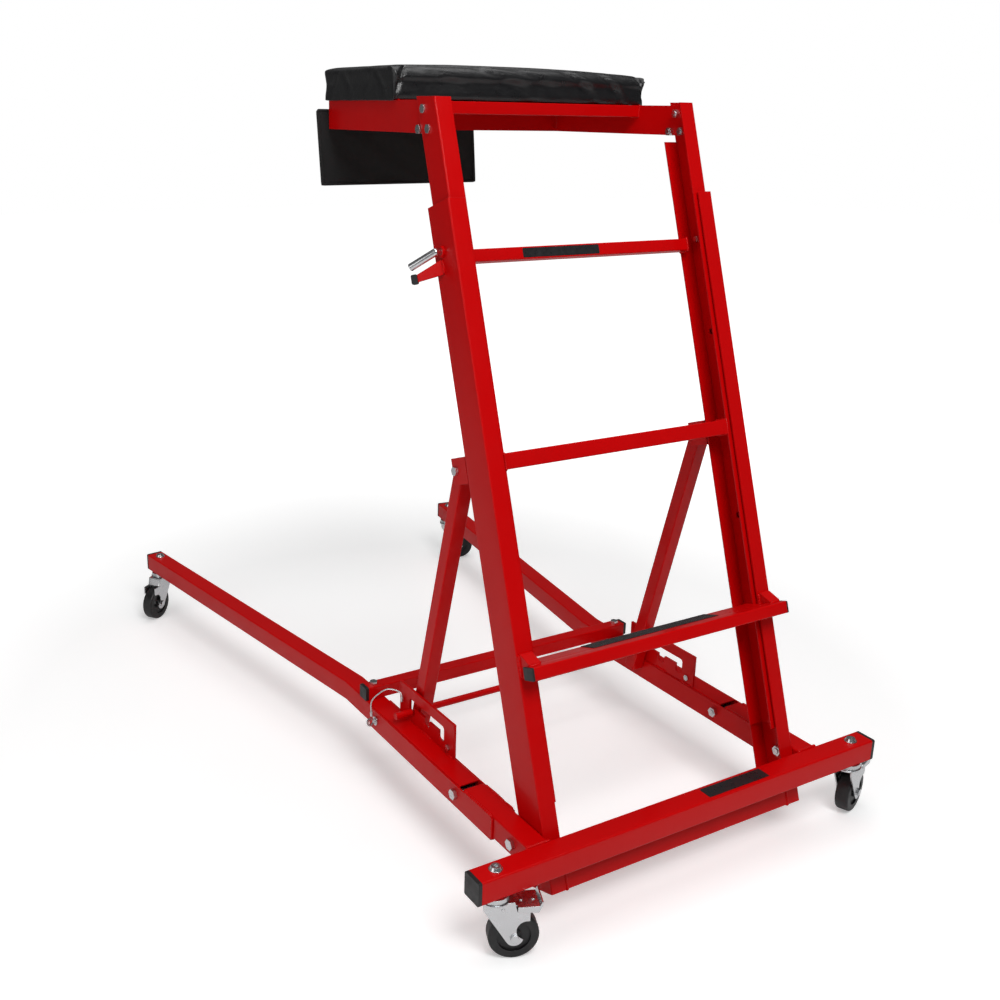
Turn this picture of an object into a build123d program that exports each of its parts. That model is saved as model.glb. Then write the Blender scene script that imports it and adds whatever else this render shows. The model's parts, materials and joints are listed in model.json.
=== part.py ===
from build123d import *
import os
from math import cos, radians, sin

# Foldable topside creeper: a two-stage ladder with a padded deck, on a caster base whose legs fold.
# X runs across, Y to the rear, Z up. The origin is on the floor, in the middle of the footprint.

os.makedirs("parts", exist_ok=True)

# ---- driving dimensions: millimetres and degrees ----
SIDES = {"left": -1, "right": 1}

# base frame
BAR_Y = -702.0  # centre line of the front crossbar
TUBE = 38.0
TUBE_WALL = 2.0
TUBE_ROUND = 3.0
TUBE_Z = 126.0  # centre height of every base tube
TUBE_TOP = TUBE_Z + TUBE / 2
TUBE_BOTTOM = TUBE_Z - TUBE / 2
BAR_HALF = 400.0
CAP = 6.0
CAP_PLUG = 0.3  # share of the tube's size
SIDE_X = 279.5  # centre of the stubs and of the straight part of the legs
STUB_END_Y = BAR_Y + 196.0
CHANNEL_START_Y = BAR_Y + 111.0
CHANNEL_END_Y = BAR_Y + 515.0
CHANNEL_WALL = 2.5
CHANNEL_GAP = 0.4
BOLT_R = 5.0
RUNNING = 0.05

# folding legs
LEG_PIVOT_Y = BAR_Y + 218.0
LEG_START_Y = BAR_Y + 208.0
LEG_BEND_Y = BAR_Y + 619.0
LEG_END_Y = BAR_Y + 1433.0
LEG_SPLAY = 127.0  # how far outward the rear end of a leg stands
HITCH_Y = BAR_Y + 488.0
REAR_TUBE = 25.0
REAR_TUBE_WALL = 1.8
REAR_TUBE_HALF = 295.0
REAR_TUBE_Y = BAR_Y + 541.0

# slotted brackets on the legs and the rod that rests in them
PLATE_X = 260.5  # inner face
PLATE_THICK = 4.5
PLATE_TOP = TUBE_TOP + 62.0
PLATE_START_Y = BAR_Y + 282.0
PLATE_END_Y = BAR_Y + 466.0
ROD_R = 6.0
ROD_Y = BAR_Y + 423.0
ROD_Z = 165.0
ROD_HALF = 298.0
NOTCH_PITCH = 50.0
NOTCH_WIDTH = 18.0
SLOT_LOW = 174.0
SLOT_HIGH = 188.0

# ladder: stations run up along it from its pivot, offsets run to the rear, square to it
LADDER_LEAN = 18.8
PIVOT_Y = BAR_Y + 59.0
PIVOT_Z = 128.0
RAIL_X = 260.0
RAIL_FRONT = -30.0
RAIL_REAR = 34.0
RAIL_FLANGE = 29.0
RAIL_WALL = 2.5
OUTER_LOW = -83.0
OUTER_HIGH = 964.0
INNER_GAP = 3.5
INNER_LOW = 48.0
INNER_TOP_Z = 1193.0
HEIGHT_STATION = 892.0
HEIGHT_PITCH = 160.0
HEIGHT_HOLES = 4
HEIGHT_OFFSET = 9.0
STEP_STATION = 263.0
STEP_HIGH = 20.0
STEP_DEEP = 25.0
STEP_FRONT = RAIL_FRONT - 38.0
STEP_HALF = 257.0
UPPER_RUNG_STATION = 884.0
MIDDLE_RUNG_STATION = 566.0
MIDDLE_RUNG = 25.0
UPPER_RUNG = 20.0

# struts between the ladder and the rod
STRUT = 25.0
STRUT_WALL = 1.5
STRUT_X = 244.0
STRUT_STATION = 562.0
STRUT_OFFSET = RAIL_REAR + 30.0
STRUT_BELOW = 36.0
STRUT_ABOVE = 14.0

# deck, pad and pouch
DECK_TOP = 1188.0
DECK_HIGH = 49.0
DECK_FRONT_Y = BAR_Y + 523.0
DECK_REAR_Y = BAR_Y + 773.0
DECK_X = 246.5  # outer face of the deck's side plates
DECK_PLATE = 3.0
DECK_TUBE = 20.0
DECK_BOLTS = ((BAR_Y + 428.0, 1175.0), (BAR_Y + 412.0, 1146.0), (BAR_Y + 441.0, 1145.0))
BOARD = 3.0
PAD_HALF_X = 253.0
PAD_FRONT_Y = BAR_Y + 521.0
PAD_REAR_Y = BAR_Y + 780.0
PAD_HIGH = 51.0
POUCH_X = (-268.0, 65.0)
POUCH_Z = (1041.0, 1172.0)
POUCH_DEEP = 12.0

# casters: a caster's plane has local x along its trail and local y up from the floor
STEM_X = 366.0
STEM_R = 6.0
STEM_ABOVE = 2.0  # how far a stem stands out of its tube
NUT_FLANGE_R = 10.5
REAR_STEM_BACK = 26.0  # from the rear end of a leg, along the leg
WHEEL_R = 38.0
WHEEL_WIDE = 24.0
TRAIL = 28.0
FORK_INSIDE = 27.0
FORK_WALL = 2.5
RACE_R = 22.0
RACE_Z = 101.5
FORK_TOP = 98.5
AXLE_R = 4.0
TRAILS = {
    "front_left": (0.92, -0.39),
    "front_right": (0.94, 0.34),
    "rear_left": (-0.79, -0.62),
    "rear_right": (0.86, -0.51),
}

# ---- derived values ----
LEAN_COS = cos(radians(LADDER_LEAN))
LEAN_SIN = sin(radians(LADDER_LEAN))
INNER_X = RAIL_X - RAIL_WALL - INNER_GAP
INNER_FRONT = RAIL_FRONT + RAIL_WALL + INNER_GAP
INNER_REAR = RAIL_REAR - RAIL_WALL - INNER_GAP
INNER_TIP = INNER_X - RAIL_FLANGE
LEG_OUT = Vector(LEG_SPLAY, LEG_END_Y - LEG_BEND_Y, 0).normalized()
REAR_STEM = Vector(SIDE_X + LEG_SPLAY, LEG_END_Y, 0) - LEG_OUT * REAR_STEM_BACK


def side_plane(x, y=0.0, z=0.0):
    """Faces +X: local x runs to the rear and local y runs up."""
    return Plane(origin=(x, y, z), x_dir=(0, 1, 0), z_dir=(1, 0, 0))


def ladder_side(x):
    """Faces +X: local x is the offset to the rear and local y the station along the ladder."""
    return Plane(origin=(x, PIVOT_Y, PIVOT_Z), x_dir=(0, LEAN_COS, -LEAN_SIN), z_dir=(1, 0, 0))


def ladder_cross(station):
    """Square to the ladder: local x is X and local y is the offset to the rear."""
    origin = (0, PIVOT_Y + station * LEAN_SIN, PIVOT_Z + station * LEAN_COS)
    return Plane(origin=origin, x_dir=(1, 0, 0), z_dir=(0, LEAN_SIN, LEAN_COS))


def ladder_point(offset, station):
    """Y and Z of a point given by its offset and station."""
    return (
        PIVOT_Y + station * LEAN_SIN + offset * LEAN_COS,
        PIVOT_Z + station * LEAN_COS - offset * LEAN_SIN,
    )


def caster_plane(x, y, trail, shift=0.0):
    """Upright plane through a caster's stem, moved by shift along the wheel's axle."""
    dx, dy = trail
    length = (dx * dx + dy * dy) ** 0.5
    axle = Vector(dy, -dx, 0) / length
    return Plane(origin=Vector(x, y, 0) + axle * shift, x_dir=(dx, dy, 0), z_dir=axle)


def leg_end_plane(side):
    """At the rear end of a leg, square to it."""
    origin = (side * (SIDE_X + LEG_SPLAY), LEG_END_Y, TUBE_Z)
    return Plane(origin=origin, x_dir=(LEG_OUT.Y, -side * LEG_OUT.X, 0), z_dir=(side * LEG_OUT.X, LEG_OUT.Y, 0))


def finish(piece, name):
    """Label a finished piece and write it."""
    piece.part.label = name
    export_step(piece.part, f"parts/{name}.step")


def square_tube(plane, size, wall, length):
    """Hollow square tube from a plane at its centre line."""
    with BuildSketch(plane) as section:
        RectangleRounded(size, size, TUBE_ROUND * size / TUBE)
        Rectangle(size - 2 * wall, size - 2 * wall, mode=Mode.SUBTRACT)
    extrude(section.sketch, amount=length)


def tube_cap(plane, size, wall):
    """Plastic plug: a plate on the tube's end and a stem that grips inside it."""
    with BuildSketch(plane) as plate:
        RectangleRounded(size, size, TUBE_ROUND * size / TUBE)
    extrude(plate.sketch, amount=CAP)
    with BuildSketch(plane) as plug:
        Rectangle(size - 2 * wall - 0.2, size - 2 * wall - 0.2)
    extrude(plug.sketch, amount=-CAP_PLUG * size)


def cut_round(plane, radius, length):
    """Round hole along a plane's normal, to both sides of the plane."""
    with BuildSketch(plane) as hole:
        Circle(radius)
    extrude(hole.sketch, amount=length, both=True, mode=Mode.SUBTRACT)


def add_round(plane, radius, length):
    """Round bar along a plane's normal."""
    with BuildSketch(plane) as disc:
        Circle(radius)
    extrude(disc.sketch, amount=length)


def add_hexagon(plane, radius, length, bore=0.0):
    """Bolt head or nut; radius is to its corners."""
    with BuildSketch(plane) as hexagon:
        RegularPolygon(radius, 6)
        if bore:
            Circle(bore, mode=Mode.SUBTRACT)
    extrude(hexagon.sketch, amount=length)


# ---- base: crossbar, stubs and hinge channels ----
with BuildPart() as front_crossbar:
    square_tube(side_plane(-BAR_HALF, BAR_Y, TUBE_Z), TUBE, TUBE_WALL, 2 * BAR_HALF)
    for side in SIDES.values():
        cut_round(Plane((side * STEM_X, BAR_Y, TUBE_Z)), STEM_R + 0.1, TUBE)
finish(front_crossbar, "front_crossbar")

with BuildPart() as crossbar_caps:
    tube_cap(side_plane(BAR_HALF, BAR_Y, TUBE_Z), TUBE, TUBE_WALL)
    mirror(about=Plane.YZ)
finish(crossbar_caps, "crossbar_caps")

with BuildPart() as base_stubs:
    stub_front = BAR_Y + TUBE / 2
    stub_plane = Plane(origin=(SIDE_X, stub_front, TUBE_Z), x_dir=(1, 0, 0), z_dir=(0, 1, 0))
    square_tube(stub_plane, TUBE, TUBE_WALL, STUB_END_Y - stub_front)
    cut_round(side_plane(SIDE_X, PIVOT_Y, PIVOT_Z), BOLT_R + RUNNING, TUBE)
    mirror(about=Plane.YZ)
finish(base_stubs, "base_stubs")

with BuildPart() as hinge_channels:
    channel_inside = TUBE / 2 + CHANNEL_GAP
    channel_outside = channel_inside + CHANNEL_WALL
    channel_top = TUBE_TOP - 2.0
    channel_bottom = TUBE_Z - channel_outside
    with BuildSketch(Plane(origin=(SIDE_X, CHANNEL_START_Y, 0), x_dir=(1, 0, 0), z_dir=(0, -1, 0))):
        with Locations((0, (channel_bottom + channel_top) / 2)):
            Rectangle(2 * channel_outside, channel_top - channel_bottom)
        with Locations((0, TUBE_Z - channel_inside + TUBE)):
            Rectangle(2 * channel_inside, 2 * TUBE, mode=Mode.SUBTRACT)
    extrude(amount=-(CHANNEL_END_Y - CHANNEL_START_Y))
    cut_round(side_plane(SIDE_X, LEG_PIVOT_Y, TUBE_Z), BOLT_R + RUNNING, TUBE)
    cut_round(side_plane(SIDE_X, HITCH_Y, TUBE_Z), BOLT_R + 0.3, TUBE)
    mirror(about=Plane.YZ)
finish(hinge_channels, "hinge_channels")

HEAD_HIGH = 6.0
HEAD_R = 9.2
CHANNEL_FACE = SIDE_X + TUBE / 2 + CHANNEL_GAP + CHANNEL_WALL
CHANNEL_BACK = SIDE_X - TUBE / 2 - CHANNEL_GAP - CHANNEL_WALL
NUT_HIGH = 7.0

with BuildPart() as hinge_bolts:
    stub_face = SIDE_X + TUBE / 2
    ladder_bolt_end = RAIL_X - RAIL_WALL - NUT_HIGH - 2
    ladder_bolt = side_plane(ladder_bolt_end, PIVOT_Y, PIVOT_Z)
    add_round(ladder_bolt, BOLT_R, stub_face + HEAD_HIGH - ladder_bolt_end)
    add_hexagon(side_plane(stub_face, PIVOT_Y, PIVOT_Z), HEAD_R, HEAD_HIGH)
    leg_bolt_end = CHANNEL_BACK - NUT_HIGH - 1
    leg_bolt = side_plane(leg_bolt_end, LEG_PIVOT_Y, TUBE_Z)
    add_round(leg_bolt, BOLT_R, CHANNEL_FACE + HEAD_HIGH - leg_bolt_end)
    add_hexagon(side_plane(CHANNEL_FACE, LEG_PIVOT_Y, TUBE_Z), HEAD_R, HEAD_HIGH)
    mirror(about=Plane.YZ)
finish(hinge_bolts, "hinge_bolts")

with BuildPart() as hinge_nuts:
    nut_x = RAIL_X - RAIL_WALL - NUT_HIGH - 0.3
    add_hexagon(side_plane(nut_x, PIVOT_Y, PIVOT_Z), HEAD_R, NUT_HIGH, BOLT_R)
    add_hexagon(side_plane(CHANNEL_BACK - NUT_HIGH, LEG_PIVOT_Y, TUBE_Z), HEAD_R, NUT_HIGH, BOLT_R)
    mirror(about=Plane.YZ)
finish(hinge_nuts, "hinge_nuts")


# ---- folding legs ----
def leg(side):
    """Square tube, straight in the hinge channel and splayed outward behind the bend."""
    start = (side * SIDE_X, LEG_START_Y, TUBE_Z)
    bend = (side * SIDE_X, LEG_BEND_Y, TUBE_Z)
    end = (side * (SIDE_X + LEG_SPLAY), LEG_END_Y, TUBE_Z)
    with BuildPart() as piece:
        with BuildLine() as path:
            Polyline(start, bend, end)
        with BuildSketch(Plane(origin=start, x_dir=(1, 0, 0), z_dir=(0, 1, 0))):
            RectangleRounded(TUBE, TUBE, TUBE_ROUND)
            Rectangle(TUBE - 2 * TUBE_WALL, TUBE - 2 * TUBE_WALL, mode=Mode.SUBTRACT)
        sweep(path=path.line, transition=Transition.RIGHT)
        with BuildSketch(side_plane(side * SIDE_X, LEG_PIVOT_Y, TUBE_Z)):  # corner relief for the swing
            with BuildLine():
                Polyline((0, -20), (-11, -20), (-11, -16), (0, -20))
            make_face()
        extrude(amount=TUBE, both=True, mode=Mode.SUBTRACT)
        cut_round(side_plane(side * SIDE_X, LEG_PIVOT_Y, TUBE_Z), BOLT_R + RUNNING, TUBE)
        cut_round(side_plane(side * SIDE_X, HITCH_Y, TUBE_Z), BOLT_R + 0.3, TUBE)
        cut_round(Plane((side * SIDE_X, REAR_TUBE_Y, TUBE_Z)), LEG_BOLT_R + 0.1, TUBE)
        cut_round(Plane((side * REAR_STEM.X, REAR_STEM.Y, TUBE_Z)), STEM_R + 0.1, TUBE)
    return piece


LEG_BOLT_R = 4.0
for name, side in SIDES.items():
    finish(leg(side), f"leg_{name}")

REAR_TUBE_Z = TUBE_TOP + REAR_TUBE / 2
with BuildPart() as leg_crossbar:
    rear_plane = side_plane(-REAR_TUBE_HALF, REAR_TUBE_Y, REAR_TUBE_Z)
    square_tube(rear_plane, REAR_TUBE, REAR_TUBE_WALL, 2 * REAR_TUBE_HALF)
    for side in SIDES.values():
        cut_round(Plane((side * SIDE_X, REAR_TUBE_Y, REAR_TUBE_Z)), LEG_BOLT_R + 0.1, TUBE)
finish(leg_crossbar, "leg_crossbar")

with BuildPart() as leg_caps:
    tube_cap(leg_end_plane(1), TUBE, TUBE_WALL)
    tube_cap(side_plane(REAR_TUBE_HALF, REAR_TUBE_Y, REAR_TUBE_Z), REAR_TUBE, REAR_TUBE_WALL)
    mirror(about=Plane.YZ)
finish(leg_caps, "leg_caps")

with BuildPart() as leg_bolts:
    bolt_top = TUBE_TOP + REAR_TUBE
    add_hexagon(Plane((SIDE_X, REAR_TUBE_Y, bolt_top)), 7.6, 5.5)
    add_round(Plane((SIDE_X, REAR_TUBE_Y, TUBE_BOTTOM - 8)), LEG_BOLT_R, bolt_top - TUBE_BOTTOM + 8)
    add_hexagon(Plane((SIDE_X, REAR_TUBE_Y, TUBE_BOTTOM - 6.5)), 7.6, 6.5)
    mirror(about=Plane.YZ)
finish(leg_bolts, "leg_bolts")

STOP_BOLT = (BAR_Y + 299.0, 158.0)
with BuildPart() as slot_brackets:
    with BuildSketch(side_plane(PLATE_X)):
        plate_mid = ((PLATE_START_Y + PLATE_END_Y) / 2, (TUBE_TOP + PLATE_TOP) / 2)
        with Locations(plate_mid):
            Rectangle(PLATE_END_Y - PLATE_START_Y, PLATE_TOP - TUBE_TOP)
    extrude(amount=PLATE_THICK)
    with BuildSketch(side_plane(PLATE_X)):
        slot_rear = ROD_Y + NOTCH_WIDTH / 2
        slot_front = ROD_Y - 2 * NOTCH_PITCH - NOTCH_WIDTH / 2
        with Locations(((slot_front + slot_rear) / 2, (SLOT_LOW + SLOT_HIGH) / 2)):
            RectangleRounded(slot_rear - slot_front, SLOT_HIGH - SLOT_LOW, 6)
        for notch in range(3):
            with Locations((ROD_Y - notch * NOTCH_PITCH, (ROD_Z - ROD_R + SLOT_HIGH - 4) / 2)):
                RectangleRounded(NOTCH_WIDTH, SLOT_HIGH - 4 - ROD_Z + ROD_R, 5)
    extrude(amount=PLATE_THICK, mode=Mode.SUBTRACT)
    cut_round(side_plane(PLATE_X, *STOP_BOLT), 3.1, PLATE_THICK + 1)
    mirror(about=Plane.YZ)
finish(slot_brackets, "slot_brackets")

with BuildPart() as stop_bolts:
    stop_out = PLATE_X + PLATE_THICK
    add_round(side_plane(PLATE_X - 3.4, *STOP_BOLT), 3.0, PLATE_THICK + 3.4)
    add_hexagon(side_plane(stop_out, *STOP_BOLT), 5.8, 4.0)
    add_hexagon(side_plane(PLATE_X - 3.0, *STOP_BOLT), 5.8, 3.0)
    mirror(about=Plane.YZ)
finish(stop_bolts, "stop_bolts")

LANYARD_START = (PLATE_X + PLATE_THICK + 2.4, BAR_Y + 452.0, 170.0)
LANYARD_END = (CHANNEL_FACE + 3.0, HITCH_Y - 1.0, TUBE_Z + 12.0)
LANYARD_R = 1.6
with BuildPart() as lanyards:
    with BuildLine() as cable:
        crest = (PLATE_X + 24.0, BAR_Y + 474.0, 192.0)
        Spline(LANYARD_START, crest, LANYARD_END, tangents=((0.1, 0.1, 1), (0.1, 0.1, -1)))
    with BuildSketch(Plane(origin=LANYARD_START, z_dir=cable.line % 0)):
        Circle(LANYARD_R)
    sweep(path=cable.line)
    mirror(about=Plane.YZ)
finish(lanyards, "lanyards")

HITCH_R = 4.8
HITCH_NECK = 5.0


def hitch_pin(side):
    """Pull pin through channel and leg, left out where it would cross the channel's walls."""
    with BuildPart() as piece:
        def out(x):
            return Plane(origin=(side * x, HITCH_Y, TUBE_Z), x_dir=(0, 1, 0), z_dir=(side, 0, 0))
        leg_inside = SIDE_X - TUBE / 2
        leg_outside = SIDE_X + TUBE / 2
        add_round(out(leg_inside), HITCH_R, leg_outside - leg_inside)
        add_round(out(CHANNEL_FACE + 0.4), 8.0, 3.0)
        add_round(out(CHANNEL_FACE + 0.4), HITCH_R, HITCH_NECK)
        add_round(out(CHANNEL_BACK - 9.0), HITCH_R, 8.6)
        eye = (side * (CHANNEL_FACE + HITCH_NECK), HITCH_Y, TUBE_Z)
        with BuildSketch(Plane(origin=eye, x_dir=(side, 0, 0), z_dir=(0, 1, 0))):
            with Locations((6.5, 0)):
                Circle(8.0)
                Circle(4.6, mode=Mode.SUBTRACT)
        extrude(amount=1.5, both=True)
    return piece


for name, side in SIDES.items():
    finish(hitch_pin(side), f"hitch_pin_{name}")


# ---- outer ladder ----
def c_rail(side, face, front, rear, low, high):
    """Channel with its web outside and its flanges pointing to the middle of the ladder."""
    middle = (front + rear) / 2
    tip = face - RAIL_FLANGE
    with BuildPart() as piece:
        with BuildSketch(ladder_cross(low)):
            with Locations((side * tip, middle)):
                RectangleRounded(2 * RAIL_FLANGE, rear - front, RAIL_WALL)
                Rectangle(2 * (RAIL_FLANGE - RAIL_WALL), rear - front - 2 * RAIL_WALL, mode=Mode.SUBTRACT)
            with Locations((side * (tip - RAIL_FLANGE), middle)):
                Rectangle(2 * RAIL_FLANGE, rear - front, mode=Mode.SUBTRACT)
        extrude(amount=high - low)
    return piece


def outer_rail(side):
    """Lower rail with the pivot hole and the pull pin's hole."""
    with BuildPart() as piece:
        add(c_rail(side, RAIL_X, RAIL_FRONT, RAIL_REAR, OUTER_LOW, OUTER_HIGH))
        cut_round(side_plane(side * RAIL_X, PIVOT_Y, PIVOT_Z), BOLT_R + RUNNING, 6)
        cut_round(side_plane(side * RAIL_X, *ladder_point(HEIGHT_OFFSET, HEIGHT_STATION)), PIN_R + 0.1, 6)
    return piece


PIN_R = 5.0
for name, side in SIDES.items():
    finish(outer_rail(side), f"outer_rail_{name}")

CROSS_HIGH = 30.0
CROSS_DEEP = 22.0
with BuildPart() as lower_cross_member:
    with BuildSketch(ladder_side(-(RAIL_X - RAIL_FLANGE))):
        with Locations((RAIL_FRONT + CROSS_DEEP / 2, OUTER_LOW + CROSS_HIGH / 2)):
            RectangleRounded(CROSS_DEEP, CROSS_HIGH, 2)
            Rectangle(CROSS_DEEP - 4, CROSS_HIGH - 4, mode=Mode.SUBTRACT)
    extrude(amount=2 * (RAIL_X - RAIL_FLANGE))
finish(lower_cross_member, "lower_cross_member")

with BuildPart() as step_bar:
    with BuildSketch(ladder_side(-STEP_HALF)):
        with Locations((STEP_FRONT + STEP_DEEP / 2, STEP_STATION - STEP_HIGH / 2)):
            RectangleRounded(STEP_DEEP, STEP_HIGH, 2)
            Rectangle(STEP_DEEP - 3, STEP_HIGH - 3, mode=Mode.SUBTRACT)
    extrude(amount=2 * STEP_HALF)
    for start in (RAIL_X - 26, 4 - RAIL_X):  # tabs welded between the rails and the bar
        with BuildSketch(ladder_side(start)):
            with BuildLine():
                Polyline(
                    (RAIL_FRONT, STEP_STATION - STEP_HIGH),
                    (RAIL_FRONT, STEP_STATION + 17),
                    (RAIL_FRONT - 4, STEP_STATION + 17),
                    (STEP_FRONT + 14, STEP_STATION + 3),
                    (STEP_FRONT + 14, STEP_STATION),
                    (STEP_FRONT + STEP_DEEP, STEP_STATION),
                    (STEP_FRONT + STEP_DEEP, STEP_STATION - STEP_HIGH),
                    close=True,
                )
            make_face()
        extrude(amount=22)
finish(step_bar, "step_bar")

STEP_CAP = 3.0
with BuildPart() as step_end_caps:
    with BuildSketch(ladder_side(STEP_HALF)):
        with Locations((STEP_FRONT + STEP_DEEP / 2, STEP_STATION - STEP_HIGH / 2)):
            RectangleRounded(STEP_DEEP, STEP_HIGH, 2)
    extrude(amount=STEP_CAP)
    with BuildSketch(ladder_side(STEP_HALF)):
        with Locations((STEP_FRONT + STEP_DEEP / 2, STEP_STATION - STEP_HIGH / 2)):
            Rectangle(STEP_DEEP - 3.2, STEP_HIGH - 3.2)
    extrude(amount=-CAP_PLUG * STEP_DEEP)
    mirror(about=Plane.YZ)
finish(step_end_caps, "step_end_caps")

TREAD_REAR = -9.0
TREAD_HALF = INNER_TIP - 1.0
TREAD_THICK = 3.0
with BuildPart() as step_tread:
    tread_front = STEP_FRONT + STEP_DEEP
    with BuildSketch(ladder_side(-TREAD_HALF)):
        with Locations(((tread_front + TREAD_REAR) / 2, STEP_STATION - TREAD_THICK / 2)):
            Rectangle(TREAD_REAR - tread_front, TREAD_THICK)
        with Locations((TREAD_REAR - TREAD_THICK / 2, STEP_STATION - 8)):
            Rectangle(TREAD_THICK, 16)
    extrude(amount=2 * TREAD_HALF)
finish(step_tread, "step_tread")

TAPE_HALF = 128.0
TAPE_THICK = 1.0
with BuildPart() as grip_tape:
    with BuildSketch(ladder_side(-TAPE_HALF)):
        with Locations(((STEP_FRONT + STEP_DEEP + TREAD_REAR) / 2, STEP_STATION + TAPE_THICK / 2)):
            Rectangle(TREAD_REAR - STEP_FRONT - STEP_DEEP, TAPE_THICK)
    extrude(amount=2 * TAPE_HALF)
finish(grip_tape, "grip_tape")

EAR = 2.5
EAR_INSIDE = STRUT / 2 + 1.0
EAR_REACH = STRUT_OFFSET + 11.0
with BuildPart() as strut_brackets:
    with BuildSketch(ladder_cross(STRUT_STATION - 22)):
        with Locations((STRUT_X, (RAIL_REAR + EAR_REACH) / 2)):
            Rectangle(2 * (EAR_INSIDE + EAR), EAR_REACH - RAIL_REAR)
        with Locations((STRUT_X, (RAIL_REAR + EAR + EAR_REACH + 1) / 2)):
            Rectangle(2 * EAR_INSIDE, EAR_REACH + 1 - RAIL_REAR - EAR, mode=Mode.SUBTRACT)
    extrude(amount=42)
    cut_round(side_plane(STRUT_X, *ladder_point(STRUT_OFFSET, STRUT_STATION)), 4.1, 2 * STRUT)
    mirror(about=Plane.YZ)
finish(strut_brackets, "strut_brackets")

with BuildPart() as strut_bolts:
    strut_top = ladder_point(STRUT_OFFSET, STRUT_STATION)
    ear_face = STRUT_X + EAR_INSIDE + EAR
    ear_back = STRUT_X - EAR_INSIDE - EAR
    add_hexagon(side_plane(ear_face, *strut_top), 7.6, 5.5)
    add_round(side_plane(ear_face - EAR, *strut_top), 4.0, EAR)
    add_hexagon(side_plane(ear_back - 6.5, *strut_top), 7.6, 6.5)
    add_round(side_plane(ear_back, *strut_top), 4.0, EAR)
    mirror(about=Plane.YZ)
finish(strut_bolts, "strut_bolts")

LATCH_THICK = 3.0
LATCH_BOSS = 4.0
GRIP_R = 6.0
GRIP_LENGTH = 46.0


def latch_plane(below=0.0):
    """Lies in the latch bracket's plate: local x runs outward and to the rear, local y up the ladder."""
    y, z = ladder_point(HEIGHT_OFFSET, HEIGHT_STATION)
    outward = Vector(1, LEAN_COS, -LEAN_SIN).normalized()
    along = Vector(0, LEAN_SIN, LEAN_COS)
    plate = Plane(origin=(RAIL_X, y, z), x_dir=outward, z_dir=outward.cross(along))
    return plate.offset(-below)


with BuildPart() as latch_brackets:
    with BuildSketch(latch_plane(LATCH_THICK)):
        with BuildLine():
            Polyline((3.1, -11), (46, -27), (46, -38), (3.1, -34), close=True)
        make_face()
    extrude(amount=LATCH_THICK)
    with BuildSketch(latch_plane(LATCH_THICK + 1.5)):  # plastic tip
        with Locations((49, -33)):
            RectangleRounded(9, 14, 2)
    extrude(amount=LATCH_THICK + 3)
    with BuildSketch(ladder_side(RAIL_X)):
        with Locations((HEIGHT_OFFSET, HEIGHT_STATION)):
            Circle(9)
            Circle(PIN_R + 0.1, mode=Mode.SUBTRACT)
    extrude(amount=LATCH_BOSS)
    mirror(about=Plane.YZ)
finish(latch_brackets, "latch_brackets")


def height_pin(side):
    """Pull pin with a slanted grip; its tip beyond the inner rail's web is a piece of its own."""
    y, z = ladder_point(HEIGHT_OFFSET, HEIGHT_STATION)

    def out(x):
        return Plane(origin=(side * x, y, z), x_dir=(0, 1, 0), z_dir=(side, 0, 0))
    grip = (Vector(side, LEAN_COS, -LEAN_SIN).normalized() - Vector(0, LEAN_SIN, LEAN_COS) * 0.37).normalized()
    elbow = RAIL_X + LATCH_BOSS + GRIP_R + 2
    with BuildPart() as piece:
        add_round(out(INNER_X + 0.2), PIN_R, elbow - INNER_X - 0.2)
        add_round(Plane(origin=(side * elbow, y, z), z_dir=grip), GRIP_R, GRIP_LENGTH)
        fillet(piece.faces().sort_by(Axis.Y)[-1].edges(), 2)
        with Locations((side * elbow, y, z)):
            Sphere(GRIP_R)
        add_round(out(INNER_X - RAIL_WALL - 6.2), PIN_R, 6.0)
    return piece


for name, side in SIDES.items():
    finish(height_pin(side), f"height_pin_{name}")


# ---- inner ladder ----
def inner_rail(side):
    """Upper rail: cut level at the top, its rear flange cleared for the deck plate."""
    reach = 40.0
    top = (INNER_TOP_Z - PIVOT_Z) / LEAN_COS + reach
    with BuildPart() as piece:
        add(c_rail(side, INNER_X, INNER_FRONT, INNER_REAR, INNER_LOW, top))
        with BuildSketch(Plane.XY.offset(INNER_TOP_Z)):
            with Locations((side * RAIL_X, ladder_point(0, top)[0])):
                Rectangle(4 * RAIL_FLANGE, 300)
        extrude(amount=4 * reach, mode=Mode.SUBTRACT)
        with BuildSketch(ladder_side(side * (INNER_X - RAIL_WALL))):
            with BuildLine():
                low = (DECK_TOP - DECK_HIGH - 3 - PIVOT_Z) / LEAN_COS
                Polyline(
                    (INNER_REAR - RAIL_WALL - 0.5, low),
                    (INNER_REAR + 1, low + 1),
                    (INNER_REAR + 1, top),
                    (INNER_REAR - RAIL_WALL - 0.5, top),
                    close=True,
                )
            make_face()
        extrude(amount=-side * RAIL_FLANGE, mode=Mode.SUBTRACT)
        for hole in range(HEIGHT_HOLES):
            point = ladder_point(HEIGHT_OFFSET, HEIGHT_STATION - hole * HEIGHT_PITCH)
            cut_round(side_plane(side * INNER_X, *point), PIN_R + 0.3, 6)
        for point in DECK_BOLTS:
            cut_round(side_plane(side * INNER_X, *point), DECK_BOLT_R + 0.1, 6)
    return piece


DECK_BOLT_R = 4.0
for name, side in SIDES.items():
    finish(inner_rail(side), f"inner_rail_{name}")


with BuildPart() as rungs:
    for size, station, offset in (
        (UPPER_RUNG, UPPER_RUNG_STATION, INNER_REAR - UPPER_RUNG / 2),
        (MIDDLE_RUNG, MIDDLE_RUNG_STATION, INNER_FRONT + MIDDLE_RUNG / 2),
    ):
        with BuildSketch(ladder_side(-INNER_TIP)):
            with Locations((offset, station)):
                RectangleRounded(size, size, 2)
                Rectangle(size - 3, size - 3, mode=Mode.SUBTRACT)
        extrude(amount=2 * INNER_TIP)
finish(rungs, "rungs")


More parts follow.
